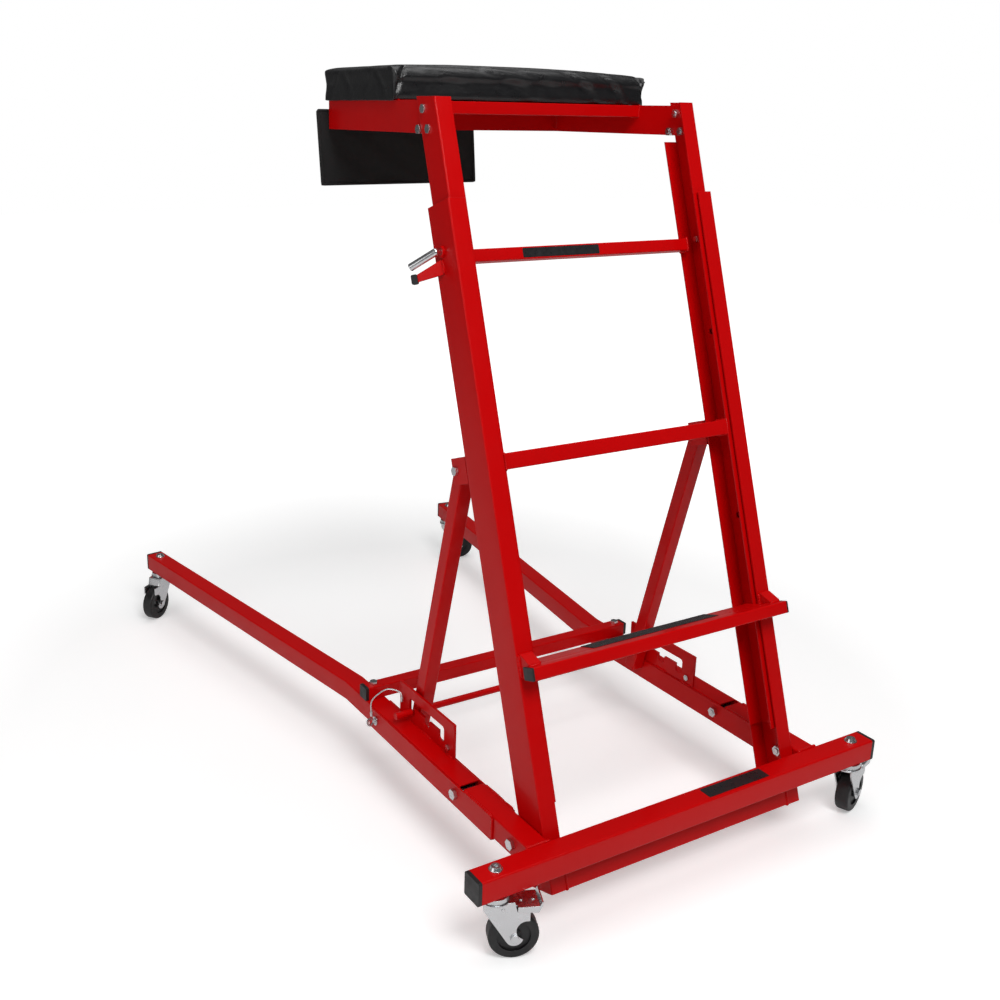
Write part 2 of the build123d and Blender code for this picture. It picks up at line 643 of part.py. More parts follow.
# ---- deck ----
def ladder_front_y(z):
    """Y, at height z, of a line just behind the inner rail's front flange."""
    offset = INNER_FRONT + RAIL_WALL + 0.6
    return PIVOT_Y + offset / LEAN_COS + (z - PIVOT_Z) * LEAN_SIN / LEAN_COS


DECK_BOTTOM = DECK_TOP - DECK_HIGH
WEB_X = INNER_X - RAIL_WALL
with BuildPart() as deck_arms:  # stepped outward to bolt flat inside the rails' webs
    jog_front = BAR_Y + 478.0
    jog_rear = BAR_Y + 508.0
    with BuildSketch(Plane.XY.offset(DECK_BOTTOM)):
        with BuildLine():
            Polyline(
                (WEB_X, ladder_front_y(DECK_BOTTOM)),
                (WEB_X, jog_front),
                (DECK_X, jog_rear),
                (DECK_X, DECK_REAR_Y),
                (DECK_X - DECK_PLATE, DECK_REAR_Y),
                (DECK_X - DECK_PLATE, jog_rear - 1),
                (WEB_X - DECK_PLATE, jog_front - 1),
                (WEB_X - DECK_PLATE, ladder_front_y(DECK_BOTTOM)),
                close=True,
            )
        make_face()
    extrude(amount=DECK_HIGH)
    with BuildSketch(ladder_side(0)):
        with Locations((INNER_FRONT + RAIL_WALL + 0.6 - 50, 1080)):
            Rectangle(100, 200)
    extrude(amount=300, both=True, mode=Mode.SUBTRACT)
    for point in DECK_BOLTS:
        cut_round(side_plane(INNER_X, *point), DECK_BOLT_R + 0.1, 12)
    mirror(about=Plane.YZ)
finish(deck_arms, "deck_arms")

with BuildPart() as deck_bolts:
    for point in DECK_BOLTS:
        add_hexagon(side_plane(INNER_X, *point), 7.4, 2.8)
        add_round(side_plane(WEB_X - DECK_PLATE - 8, *point), DECK_BOLT_R, INNER_X - WEB_X + DECK_PLATE + 8)
        add_hexagon(side_plane(WEB_X - DECK_PLATE - 6.5, *point), 7.4, 6.5)
    mirror(about=Plane.YZ)
finish(deck_bolts, "deck_bolts")

with BuildPart() as deck_front_tube:
    tube_half = DECK_X - DECK_PLATE
    deck_tube_y = DECK_FRONT_Y + DECK_TUBE / 2
    square_tube(side_plane(-tube_half, deck_tube_y, DECK_TOP - DECK_TUBE / 2), DECK_TUBE, 1.5, 2 * tube_half)
finish(deck_front_tube, "deck_front_tube")

with BuildPart() as deck_rear_plate:
    with BuildSketch(Plane.XY.offset(DECK_TOP - DECK_HIGH)):
        with Locations((0, DECK_REAR_Y - DECK_PLATE / 2)):
            Rectangle(2 * (DECK_X - DECK_PLATE), DECK_PLATE)
    extrude(amount=DECK_HIGH)
finish(deck_rear_plate, "deck_rear_plate")

with BuildPart() as deck_board:
    with BuildSketch(Plane.XY.offset(DECK_TOP)):
        with Locations((0, (DECK_FRONT_Y + DECK_REAR_Y) / 2)):
            Rectangle(2 * DECK_X - 30, DECK_REAR_Y - DECK_FRONT_Y - 30)
    extrude(amount=BOARD)
finish(deck_board, "deck_board")

with BuildPart() as pad:
    with BuildSketch(Plane.XY.offset(DECK_TOP + BOARD)):
        with Locations((0, (PAD_FRONT_Y + PAD_REAR_Y) / 2)):
            RectangleRounded(2 * PAD_HALF_X, PAD_REAR_Y - PAD_FRONT_Y, 14)
    extrude(amount=PAD_HIGH)
    fillet(pad.faces().sort_by(Axis.Z)[-1].edges(), 10)
finish(pad, "pad")

with BuildPart() as tool_pouch:
    pouch_y = DECK_REAR_Y + 4.0
    with BuildSketch(Plane.XY.offset(POUCH_Z[0])):
        with Locations(((POUCH_X[0] + POUCH_X[1]) / 2, pouch_y + POUCH_DEEP / 2)):
            Rectangle(POUCH_X[1] - POUCH_X[0], POUCH_DEEP)
    extrude(amount=POUCH_Z[1] - POUCH_Z[0])
finish(tool_pouch, "tool_pouch")


# ---- struts and rod ----
def strut_plane(side, shift):
    """Square to the strut, with its origin on the rod's axis moved by shift along the strut."""
    top_y, top_z = ladder_point(STRUT_OFFSET, STRUT_STATION)
    run = Vector(0, top_y - ROD_Y, top_z - ROD_Z).normalized()
    origin = Vector(side * STRUT_X, ROD_Y, ROD_Z) + run * shift
    return Plane(origin=origin, x_dir=(1, 0, 0), z_dir=run)


STRUT_TOP = ladder_point(STRUT_OFFSET, STRUT_STATION)
STRUT_LENGTH = Vector(0, STRUT_TOP[0] - ROD_Y, STRUT_TOP[1] - ROD_Z).length


def strut(side):
    """Square tube from below the rod to above the bracket's bolt."""
    with BuildPart() as piece:
        square_tube(strut_plane(side, -STRUT_BELOW), STRUT, STRUT_WALL, STRUT_BELOW + STRUT_LENGTH + STRUT_ABOVE)
        cut_round(side_plane(side * STRUT_X, ROD_Y, ROD_Z), ROD_R + RUNNING, STRUT)
        cut_round(side_plane(side * STRUT_X, *STRUT_TOP), 4.2, STRUT)
    return piece


for name, side in SIDES.items():
    finish(strut(side), f"strut_{name}")

with BuildPart() as strut_caps:
    plug = STRUT - 2 * STRUT_WALL - 0.2
    with BuildSketch(strut_plane(1, STRUT_LENGTH + STRUT_ABOVE)):
        RectangleRounded(STRUT, STRUT, 2)
    extrude(amount=2)
    with BuildSketch(strut_plane(1, STRUT_LENGTH + STRUT_ABOVE)):
        Rectangle(plug, plug)
    extrude(amount=-7)
    mirror(about=Plane.YZ)
finish(strut_caps, "strut_caps")

with BuildPart() as strut_rod:
    add_round(side_plane(-PLATE_X + 0.3, ROD_Y, ROD_Z), ROD_R, 2 * (PLATE_X - 0.3))
    outer_start = PLATE_X + PLATE_THICK + 0.3
    add_round(side_plane(outer_start, ROD_Y, ROD_Z), ROD_R, ROD_HALF - outer_start)
    add_round(side_plane(-ROD_HALF, ROD_Y, ROD_Z), ROD_R, ROD_HALF - outer_start)
finish(strut_rod, "strut_rod")


# ---- casters ----
def stems(points):
    """Threaded stems that carry the fixed upper race and the rivet under the fork."""
    with BuildPart() as piece:
        for x, y in points:
            add_round(Plane((x, y, FORK_TOP - 8)), STEM_R, TUBE_TOP + STEM_ABOVE - FORK_TOP + 8)
            add_round(Plane((x, y, FORK_TOP - 8)), 9.0, 4.5)
            with BuildSketch(Plane((x, y, RACE_Z))):
                Circle(RACE_R)
            extrude(amount=TUBE_BOTTOM - RACE_Z, taper=12)
    return piece


def stem_nuts(points):
    """Low domed nuts with a hexagon socket, on top of the tubes."""
    with BuildPart() as piece:
        for x, y in points:
            add_round(Plane((x, y, TUBE_TOP)), NUT_FLANGE_R, 1.5)
            with BuildSketch(Plane((x, y, TUBE_TOP + 1.5))):
                Circle(9.5)
            extrude(amount=4.5, taper=25)
        for x, y in points:
            cut_round(Plane((x, y, TUBE_TOP)), STEM_R, STEM_ABOVE)
            with BuildSketch(Plane((x, y, TUBE_TOP + STEM_ABOVE + 1))):
                RegularPolygon(3.8, 6)
            extrude(amount=6, mode=Mode.SUBTRACT)
    return piece


def fork(x, y, trail, pedal_hole):
    """Pressed fork: a top plate with the lower race, and two side plates to the axle."""
    outside = FORK_INSIDE / 2 + FORK_WALL
    with BuildPart() as piece:
        with BuildSketch(caster_plane(x, y, trail, -outside)):
            with Locations((TRAIL, WHEEL_R)):
                Circle(13)
            with Locations((4, FORK_TOP - 5)):
                Rectangle(46, 10)
            make_hull()
            with Locations((SHOULDER_END - 25, 72)):  # shoulder over the rear of the wheel
                Rectangle(50, 20)
            with Locations((46, 50)):  # notch that bares the wheel
                Circle(15.5, mode=Mode.SUBTRACT)
            with Locations((66, 50)):
                Rectangle(40, 31, mode=Mode.SUBTRACT)
        extrude(amount=2 * outside)
        with BuildSketch(caster_plane(x, y, trail, -FORK_INSIDE / 2)):
            with Locations((0, (FORK_TOP - FORK_WALL) / 2)):
                Rectangle(200, FORK_TOP - FORK_WALL)
        extrude(amount=FORK_INSIDE, mode=Mode.SUBTRACT)
        with BuildSketch(Plane((x, y, FORK_TOP - FORK_WALL))):
            Circle(RACE_R + 1)
        extrude(amount=FORK_WALL)
        with BuildSketch(Plane((x, y, FORK_TOP))):
            Circle(RACE_R - 2)
        extrude(amount=RACE_Z - FORK_TOP - 0.4, taper=15)
        cut_round(Plane((x, y, FORK_TOP)), STEM_R + RUNNING, 8)
        cut_round(fork_point(x, y, trail, TRAIL, WHEEL_R), AXLE_R, 2 * outside)
        if pedal_hole:
            cut_round(fork_point(x, y, trail, *PEDAL_PIVOT), PEDAL_PIN_R + RUNNING, 2 * outside)
    return piece


def fork_point(x, y, trail, along, up):
    """Plane on a cross axis of the fork."""
    plane = caster_plane(x, y, trail)
    return Plane(origin=plane.from_local_coords((along, up, 0)), x_dir=plane.x_dir, z_dir=plane.z_dir)


def axle(x, y, trail):
    """Axle bolt with a head on one side plate and a nut on the other."""
    outside = FORK_INSIDE / 2 + FORK_WALL
    plane = fork_point(x, y, trail, TRAIL, WHEEL_R)
    with BuildPart() as piece:
        add_round(plane.offset(-outside - 5), AXLE_R, 2 * outside + 5)
        add_hexagon(plane.offset(-outside - 5), 6.6, 5)
        add_hexagon(plane.offset(outside), 6.6, 3.5)
    return piece


def wheel(x, y, trail):
    """Solid wheel with a rounded tread, a dished web and a raised hub."""
    plane = fork_point(x, y, trail, TRAIL, WHEEL_R)
    half = WHEEL_WIDE / 2
    with BuildPart() as piece:
        add_round(plane.offset(-half), WHEEL_R, WHEEL_WIDE)
        fillet(piece.edges().filter_by(GeomType.CIRCLE), 4)
        for face in (-half, half - 3):
            with BuildSketch(plane.offset(face)):
                Circle(25)
                Circle(11, mode=Mode.SUBTRACT)
            extrude(amount=3, mode=Mode.SUBTRACT)
        add_round(plane.offset(-half - 1), 9, WHEEL_WIDE + 2)
        cut_round(plane, AXLE_R + RUNNING, 2 * WHEEL_WIDE)
    return piece


SHOULDER_END = 50.0
PEDAL_PIVOT = (10.0, 87.0)
PEDAL_PIN_R = 2.5
PEDAL_HALF = 19.0
PEDAL_TOP = 92.0


def pedal(x, y, trail):
    """Brake pedal: a flanged plate over the wheel, on ears between the fork's side plates."""
    ear_outside = FORK_INSIDE / 2 - 0.4
    fork_outside = FORK_INSIDE / 2 + FORK_WALL
    with BuildPart() as piece:
        with BuildSketch(caster_plane(x, y, trail, -ear_outside)):
            with BuildLine():
                Polyline((4, 82), (4, PEDAL_TOP), (36, PEDAL_TOP), (36, 88), (20, 82), close=True)
            make_face()
        extrude(amount=2 * ear_outside)
        with BuildSketch(caster_plane(x, y, trail, -ear_outside + 2)):
            with Locations((15, PEDAL_TOP - 12)):
                Rectangle(60, 20)
            with Locations((5, PEDAL_TOP)):
                Rectangle(12, 30)
        extrude(amount=2 * (ear_outside - 2), mode=Mode.SUBTRACT)
        with BuildSketch(caster_plane(x, y, trail, -PEDAL_HALF)):
            with BuildLine():
                Polyline(
                    (31, PEDAL_TOP),
                    (63, PEDAL_TOP),
                    (66, PEDAL_TOP + 6),
                    (68, PEDAL_TOP + 6),
                    (66, PEDAL_TOP - 2),
                    (62, 81),
                    (31, 84),
                    close=True,
                )
            make_face()
        extrude(amount=2 * PEDAL_HALF)
        with BuildSketch(caster_plane(x, y, trail, -PEDAL_HALF + 2)):
            with Locations((46, PEDAL_TOP - 12)):
                Rectangle(60, 20)
        extrude(amount=2 * PEDAL_HALF - 4, mode=Mode.SUBTRACT)
        pin = fork_point(x, y, trail, *PEDAL_PIVOT)
        add_round(pin.offset(-fork_outside - 1), PEDAL_PIN_R, 2 * fork_outside + 2)
        for rivet in (38, 56):
            spot = caster_plane(x, y, trail).from_local_coords((rivet, PEDAL_TOP, 0))
            add_round(Plane(spot), 3.0, 1.6)
    return piece


FRONT_STEMS = ((-STEM_X, BAR_Y), (STEM_X, BAR_Y))
REAR_STEMS = ((-REAR_STEM.X, REAR_STEM.Y), (REAR_STEM.X, REAR_STEM.Y))
CASTERS = {
    "front_left": FRONT_STEMS[0],
    "front_right": FRONT_STEMS[1],
    "rear_left": REAR_STEMS[0],
    "rear_right": REAR_STEMS[1],
}
finish(stems(FRONT_STEMS), "front_stems")
finish(stems(REAR_STEMS), "rear_stems")
finish(stem_nuts(FRONT_STEMS), "front_stem_nuts")
finish(stem_nuts(REAR_STEMS), "rear_stem_nuts")
for name, (x, y) in CASTERS.items():
    braked = name.startswith("front")
    finish(fork(x, y, TRAILS[name], braked), f"fork_{name}")
    finish(axle(x, y, TRAILS[name]), f"axle_{name}")
    finish(wheel(x, y, TRAILS[name]), f"wheel_{name}")
    if braked:
        finish(pedal(x, y, TRAILS[name]), f"pedal_{name}")
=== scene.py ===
import json
import math

import bmesh
import bpy
import numpy as np
from mathutils import Matrix, Vector


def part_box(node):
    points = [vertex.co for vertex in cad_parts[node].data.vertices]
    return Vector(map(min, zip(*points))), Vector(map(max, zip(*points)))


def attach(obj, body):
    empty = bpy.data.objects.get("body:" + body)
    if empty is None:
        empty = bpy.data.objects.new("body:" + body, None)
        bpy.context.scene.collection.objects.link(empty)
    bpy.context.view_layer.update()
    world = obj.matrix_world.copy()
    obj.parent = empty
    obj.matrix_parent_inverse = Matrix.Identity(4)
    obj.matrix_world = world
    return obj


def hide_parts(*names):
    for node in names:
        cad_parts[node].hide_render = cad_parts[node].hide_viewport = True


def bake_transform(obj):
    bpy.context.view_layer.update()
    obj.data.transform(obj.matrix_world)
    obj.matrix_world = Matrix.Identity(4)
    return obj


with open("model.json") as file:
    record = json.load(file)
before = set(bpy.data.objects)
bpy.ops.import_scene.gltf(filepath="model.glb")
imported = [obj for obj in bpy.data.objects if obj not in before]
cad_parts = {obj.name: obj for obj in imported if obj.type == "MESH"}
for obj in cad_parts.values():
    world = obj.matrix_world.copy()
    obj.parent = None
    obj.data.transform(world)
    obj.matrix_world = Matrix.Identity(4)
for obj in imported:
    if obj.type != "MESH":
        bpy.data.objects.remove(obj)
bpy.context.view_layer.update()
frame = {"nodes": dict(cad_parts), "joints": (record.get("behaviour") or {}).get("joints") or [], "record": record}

JOINTS = {j["name"]: j for j in frame["joints"]}
PIVOT = Vector(JOINTS["ladder_tilt"]["pos_m"])
ALONG = Vector(JOINTS["height_slide"]["axis"]).normalized()
REARWARD = Vector((0, ALONG.z, -ALONG.y))
BAR_Y = PIVOT.y - 0.059  # middle of the front crossbar
HITCH_Y = BAR_Y + 0.488  # axis of the hitch pins
TUBE_HALF = 0.019  # half the width of the square base tube
TUBE_TOP = 0.145
TUBE_BOTTOM = 0.107
SIDES = (-1, 1)
BEAD_STEP = 0.0009  # spacing of the rings along a weld bead
BEAD_PITCH = 0.0036  # length of one ripple of a weld bead
rng = np.random.default_rng(7)


def ladder(x, offset, station):
    """A point given by X, offset to the rear of the ladder's pivot line and station up the ladder."""
    return Vector((x, PIVOT.y, PIVOT.z)) + REARWARD * offset + ALONG * station


# ---------------------------------------------------------------- materials
class Shader:
    """A procedural material built from nodes on object coordinates, in metres."""

    def __init__(self, name):
        self.mat = bpy.data.materials.new(name)
        self.mat.use_nodes = True
        self.tree = self.mat.node_tree
        self.bsdf = self.tree.nodes["Principled BSDF"]
        self.coord = self.add("ShaderNodeTexCoord").outputs["Object"]

    def add(self, kind, inputs=None, **settings):
        node = self.tree.nodes.new(kind)
        for key, value in settings.items():
            setattr(node, key, value)
        for key, value in (inputs or {}).items():
            self.put(node, key, value)
        return node

    def put(self, node, key, value):
        if isinstance(value, bpy.types.NodeSocket):
            self.tree.links.new(value, node.inputs[key])
        else:
            node.inputs[key].default_value = value

    def set(self, **inputs):
        for key, value in inputs.items():
            self.put(self.bsdf, key.replace("_", " "), value)

    def stretched(self, scale):
        return self.add("ShaderNodeMapping", {"Vector": self.coord, "Scale": scale}).outputs["Vector"]

    def noise(self, scale, detail=3.0, rough=0.5, vector=None):
        inputs = {"Vector": vector or self.coord, "Scale": scale, "Detail": detail, "Roughness": rough}
        return self.add("ShaderNodeTexNoise", inputs).outputs["Fac"]

    def voronoi(self, scale, feature="F1"):
        node = self.add("ShaderNodeTexVoronoi", {"Vector": self.coord, "Scale": scale}, feature=feature)
        return node.outputs["Distance"]

    def wave(self, scale, direction):
        inputs = {"Vector": self.coord, "Scale": scale}
        node = self.add("ShaderNodeTexWave", inputs, wave_type="BANDS", bands_direction=direction)
        return node.outputs["Fac"]

    def remap(self, value, low, high, start=0.3, end=0.7):
        inputs = {"Value": value, "From Min": start, "From Max": end, "To Min": low, "To Max": high}
        return self.add("ShaderNodeMapRange", inputs).outputs["Result"]

    def math(self, operation, a, b):
        return self.add("ShaderNodeMath", {0: a, 1: b}, operation=operation).outputs[0]

    def mix(self, factor, a, b):
        node = self.add("ShaderNodeMix", {0: factor, 6: a, 7: b}, data_type="RGBA")
        return node.outputs[2]

    def bump(self, height, distance, strength=1.0, normal=None):
        inputs = {"Height": height, "Distance": distance, "Strength": strength}
        if normal is not None:
            inputs["Normal"] = normal
        return self.add("ShaderNodeBump", inputs).outputs["Normal"]

    def rounded(self, radius):
        return self.add("ShaderNodeBevel", {"Radius": radius}, samples=4).outputs["Normal"]

    def edges(self, radius):
        """1 where an edge is within the radius, 0 on flat faces."""
        flat = self.add("ShaderNodeNewGeometry").outputs["True Normal"]
        inputs = {0: self.rounded(radius), 1: flat}
        dot = self.add("ShaderNodeVectorMath", inputs, operation="DOT_PRODUCT")
        return self.remap(dot.outputs["Value"], 1.0, 0.0, 0.86, 0.995)


def rgb(r, g, b):
    return (r, g, b, 1.0)


def powder_coat():
    s = Shader("red_powder_coat")
    cloudy = s.noise(5.0, 4.0)
    base = s.mix(cloudy, rgb(0.54, 0.0004, 0.0010), rgb(0.62, 0.0008, 0.0016))
    # darker red in patches along edges and inner corners
    coat_edge_darkening = s.math("MULTIPLY", s.edges(0.0011), s.noise(60.0, 5.0))
    base = s.mix(s.math("MULTIPLY", coat_edge_darkening, 0.30), base, rgb(0.26, 0.002, 0.003))
    peel = s.noise(420.0, 2.0)
    normal = s.bump(peel, 0.00008, 0.35, s.rounded(0.0011))
    s.set(Base_Color=base, Roughness=s.remap(s.noise(22.0, 6.0), 0.30, 0.40), Normal=normal)
    s.set(Coat_Weight=0.13, Coat_Roughness=s.remap(peel, 0.05, 0.10), Specular_IOR_Level=0.10)
    return s.mat


def zinc():
    s = Shader("zinc_plate")
    blotch = s.noise(60.0, 3.0, 0.5)
    base = s.mix(blotch, rgb(0.62, 0.63, 0.64), rgb(0.74, 0.75, 0.77))
    # darker grey along edges and inner corners
    zinc_edge_darkening = s.math("MULTIPLY", s.edges(0.0006), 0.35)
    base = s.mix(zinc_edge_darkening, base, rgb(0.42, 0.42, 0.40))
    scratches = s.noise(900.0, 2.0, 0.5, s.stretched((1.0, 0.15, 1.0)))
    normal = s.bump(scratches, 0.00005, 0.4, s.rounded(0.0006))
    s.set(Base_Color=base, Metallic=1.0, Roughness=s.remap(blotch, 0.20, 0.30), Normal=normal)
    return s.mat


def black_plastic():
    s = Shader("black_plastic")
    grain = s.voronoi(1100.0)
    base = s.mix(s.noise(30.0, 4.0), rgb(0.004, 0.004, 0.005), rgb(0.012, 0.012, 0.013))
    normal = s.bump(grain, 0.00012, 0.5, s.rounded(0.0012))
    s.set(Base_Color=base, Roughness=s.remap(s.noise(55.0, 4.0), 0.38, 0.58), Normal=normal)
    return s.mat


def wheel_rubber():
    s = Shader("wheel_black")
    scuff = s.noise(75.0, 8.0, 0.65)
    worn = s.remap(scuff, 0.0, 1.0, 0.45, 0.75)
    base = s.mix(worn, rgb(0.004, 0.004, 0.005), rgb(0.018, 0.017, 0.017))
    normal = s.bump(s.noise(800.0, 3.0), 0.0001, 0.5, s.rounded(0.001))
    s.set(Base_Color=base, Roughness=s.remap(scuff, 0.30, 0.55), Normal=normal)
    return s.mat


def grip_tape():
    s = Shader("grip_tape")
    grit = s.voronoi(1500.0)
    # painted glints: bright specks mixed into the tape's colour stand in for the grit's glitter
    painted_glints = s.remap(s.noise(2600.0, 1.0), 0.0, 1.0, 0.62, 0.70)
    base = s.mix(painted_glints, rgb(0.010, 0.010, 0.011), rgb(0.22, 0.22, 0.23))
    worn = s.remap(s.noise(14.0, 5.0), 0.0, 0.35, 0.5, 0.75)
    base = s.mix(worn, base, rgb(0.045, 0.042, 0.040))
    s.set(Base_Color=base, Roughness=0.85, Normal=s.bump(grit, 0.0006, 0.9))
    return s.mat


def vinyl():
    s = Shader("black_vinyl")
    cells = s.voronoi(620.0, "DISTANCE_TO_EDGE")
    grain = s.remap(cells, 0.0, 1.0, 0.0, 0.25)
    slow = s.noise(9.0, 5.0)
    base = s.mix(slow, rgb(0.004, 0.004, 0.005), rgb(0.009, 0.009, 0.010))
    normal = s.bump(grain, 0.00022, 0.38)
    normal = s.bump(s.noise(42.0, 3.0, 0.55, s.stretched((0.5, 1.0, 1.4))), 0.0030, 0.32, normal)
    s.set(Base_Color=base, Roughness=s.remap(s.noise(70.0, 5.0), 0.26, 0.38), Normal=normal)
    s.set(Coat_Weight=0.20, Coat_Roughness=0.25)
    return s.mat


def woven():
    s = Shader("woven_cloth")
    warp = s.wave(320.0, "X")
    weft = s.wave(320.0, "Z")
    threads = s.math("MAXIMUM", warp, weft)
    lit = s.math("MULTIPLY", threads, s.noise(500.0, 2.0))
    base = s.mix(lit, rgb(0.003, 0.003, 0.003), rgb(0.014, 0.014, 0.015))
    normal = s.bump(threads, 0.0003, 0.7)
    normal = s.bump(s.noise(25.0, 4.0), 0.004, 0.3, normal)
    s.set(Base_Color=base, Roughness=0.85, Normal=normal, Sheen_Weight=0.06, Sheen_Roughness=0.4)
    return s.mat


def plywood():
    s = Shader("deck_board")
    grain = s.noise(30.0, 8.0, 0.65, s.stretched((1.0, 14.0, 14.0)))
    base = s.mix(s.remap(grain, 0.0, 1.0), rgb(0.20, 0.12, 0.06), rgb(0.42, 0.28, 0.15))
    s.set(Base_Color=base, Roughness=0.7, Normal=s.bump(grain, 0.0008, 0.5))
    return s.mat


def wire():
    s = Shader("clear_coated_wire")
    base = s.mix(s.noise(400.0, 3.0), rgb(0.50, 0.51, 0.52), rgb(0.82, 0.83, 0.84))
    s.set(Base_Color=base, Metallic=0.9, Roughness=s.remap(s.noise(900.0, 2.0), 0.2, 0.36))
    s.set(Coat_Weight=0.6, Coat_Roughness=0.12, Normal=s.bump(s.noise(2500.0, 1.0), 0.00005, 0.4))
    return s.mat


def sticker():
    s = Shader("plain_sticker")
    base = s.mix(s.noise(80.0, 4.0), rgb(0.010, 0.010, 0.011), rgb(0.022, 0.022, 0.024))
    normal = s.bump(s.noise(300.0), 0.0001, 0.3)
    s.set(Base_Color=base, Roughness=s.remap(s.noise(160.0, 3.0), 0.25, 0.4), Normal=normal)
    return s.mat


def thread():
    s = Shader("sewing_thread")
    twist = s.noise(3000.0, 2.0)
    base = s.mix(twist, rgb(0.008, 0.008, 0.009), rgb(0.05, 0.05, 0.052))
    s.set(Base_Color=base, Roughness=0.6, Sheen_Weight=0.3, Normal=s.bump(twist, 0.0001, 0.6))
    return s.mat


MATERIALS = {
    "red_steel": powder_coat(),
    "zinc": zinc(),
    "black_plastic": black_plastic(),
    "wheel_plastic": wheel_rubber(),
    "grip": grip_tape(),
    "vinyl": vinyl(),
    "cloth": woven(),
    "board": plywood(),
    "cable": wire(),
    "sticker": sticker(),
    "thread": thread(),
}


def dress(obj, slot):
    """Give an object its finish."""
    obj.data.materials.clear()
    obj.data.materials.append(MATERIALS[slot])
    return obj


NODE_SLOT = {p["node"]: p["material_slot"] for p in frame["record"]["subparts"]}
for node, obj in frame["nodes"].items():
    if not obj.material_slots:
        obj.data.materials.append(None)
    for place in obj.material_slots:
        place.material = MATERIALS[NODE_SLOT[node]]
    obj.data.polygons.foreach_set("use_smooth", [True] * len(obj.data.polygons))
    weld = obj.modifiers.new("join", "WELD")
    weld.merge_threshold = 1e-5
    crease = obj.modifiers.new("crease", "EDGE_SPLIT")
    crease.split_angle = math.radians(32)


# ---------------------------------------------------------------- mesh helpers
def mesh_object(name, bm, slot, smooth=True):
    """Make a dressed object from a bmesh, with its normals facing out."""
    bmesh.ops.recalc_face_normals(bm, faces=bm.faces)
    data = bpy.data.meshes.new(name)
    bm.to_mesh(data)
    bm.free()
    obj = bpy.data.objects.new(name, data)
    bpy.context.scene.collection.objects.link(obj)
    data.polygons.foreach_set("use_smooth", [smooth] * len(data.polygons))
    return dress(obj, slot)


def resample(points, step):
    """Points about a step apart along a polyline, ends included, and their distances from its start."""
    points = [np.array(p, float) for p in points]
    lengths = [np.linalg.norm(b - a) for a, b in zip(points, points[1:])]
    total = sum(lengths)
    stations = np.linspace(0, total, max(2, int(round(total / step)) + 1))
    starts = np.concatenate([[0], np.cumsum(lengths)])
    out = []
    for s in stations:
        i = min(int(np.searchsorted(starts, s, side="right")) - 1, len(lengths) - 1)
        out.append(points[i] + (points[i + 1] - points[i]) * (s - starts[i]) / lengths[i])
    return np.array(out), stations


def sweep(bm, centres, radii, sides=8, closed=False):
    """Closed tube through the centres, with a radius at each."""
    count = len(centres)
    if closed:
        tangents = np.roll(centres, -1, 0) - np.roll(centres, 1, 0)
    else:
        tangents = np.gradient(centres, axis=0)
    tangents /= np.linalg.norm(tangents, axis=1)[:, None]
    side = np.cross(tangents[0], (0.31, 0.52, 0.79))
    rings = []
    for i in range(count):
        side = side - tangents[i] * (side @ tangents[i])
        side /= np.linalg.norm(side)
        up = np.cross(tangents[i], side)
        angles = np.arange(sides) * 2 * math.pi / sides
        ring = [centres[i] + radii[i] * (side * math.cos(a) + up * math.sin(a)) for a in angles]
        rings.append([bm.verts.new(p) for p in ring])
    pairs = list(zip(rings, rings[1:]))
    if closed:
        pairs.append((rings[-1], rings[0]))
    for a, b in pairs:
        for k in range(sides):
            n = (k + 1) % sides
            bm.faces.new((a[k], a[n], b[n], b[k]))
    if not closed:
        bm.faces.new(rings[0])
        bm.faces.new(rings[-1])


def bead(bm, points, radius, pitch=BEAD_PITCH, closed=False):
    """Weld bead: overlapping ripples along a seam, a little uneven."""
    if closed:
        points = list(points) + [points[0]]
    centres, stations = resample(points, BEAD_STEP)
    if closed:
        centres, stations = centres[:-1], stations[:-1]
    lumps = max(3, int(stations[-1] / 0.009))
    uneven = np.interp(stations, np.linspace(0, stations[-1], lumps), rng.normal(0, 0.10, lumps))
    ripple = np.abs(np.sin(np.pi * stations / pitch))
    radii = radius * (0.80 + 0.24 * ripple + uneven)
    if not closed:
        fade = np.minimum(stations, stations[-1] - stations) / (radius * 1.2)
        radii = radii * np.sqrt(np.clip(fade, 0.05, 1.0))
    sweep(bm, centres, np.maximum(radii, 0.0002), 8, closed)


def lathe(bm, profile, origin, axis, segments=28):
    """Turn (radius, height) points about an axis; radius 0 closes an end."""
    axis = Vector(axis).normalized()
    side = axis.orthogonal().normalized()
    up = axis.cross(side)
    rings = []
    for radius, height in profile:
        centre = Vector(origin) + axis * height
        if radius < 1e-7:
            rings.append([bm.verts.new(centre)])
            continue
        angles = [2 * math.pi * k / segments for k in range(segments)]
        ring = [centre + (side * math.cos(a) + up * math.sin(a)) * radius for a in angles]
        rings.append([bm.verts.new(p) for p in ring])
    for a, b in zip(rings, rings[1:]):
        for k in range(segments):
            n = (k + 1) % segments
            corners = [a[k % len(a)], a[n % len(a)], b[n % len(b)], b[k % len(b)]]
            unique = list(dict.fromkeys(corners))
            if len(unique) > 2:
                bm.faces.new(unique)


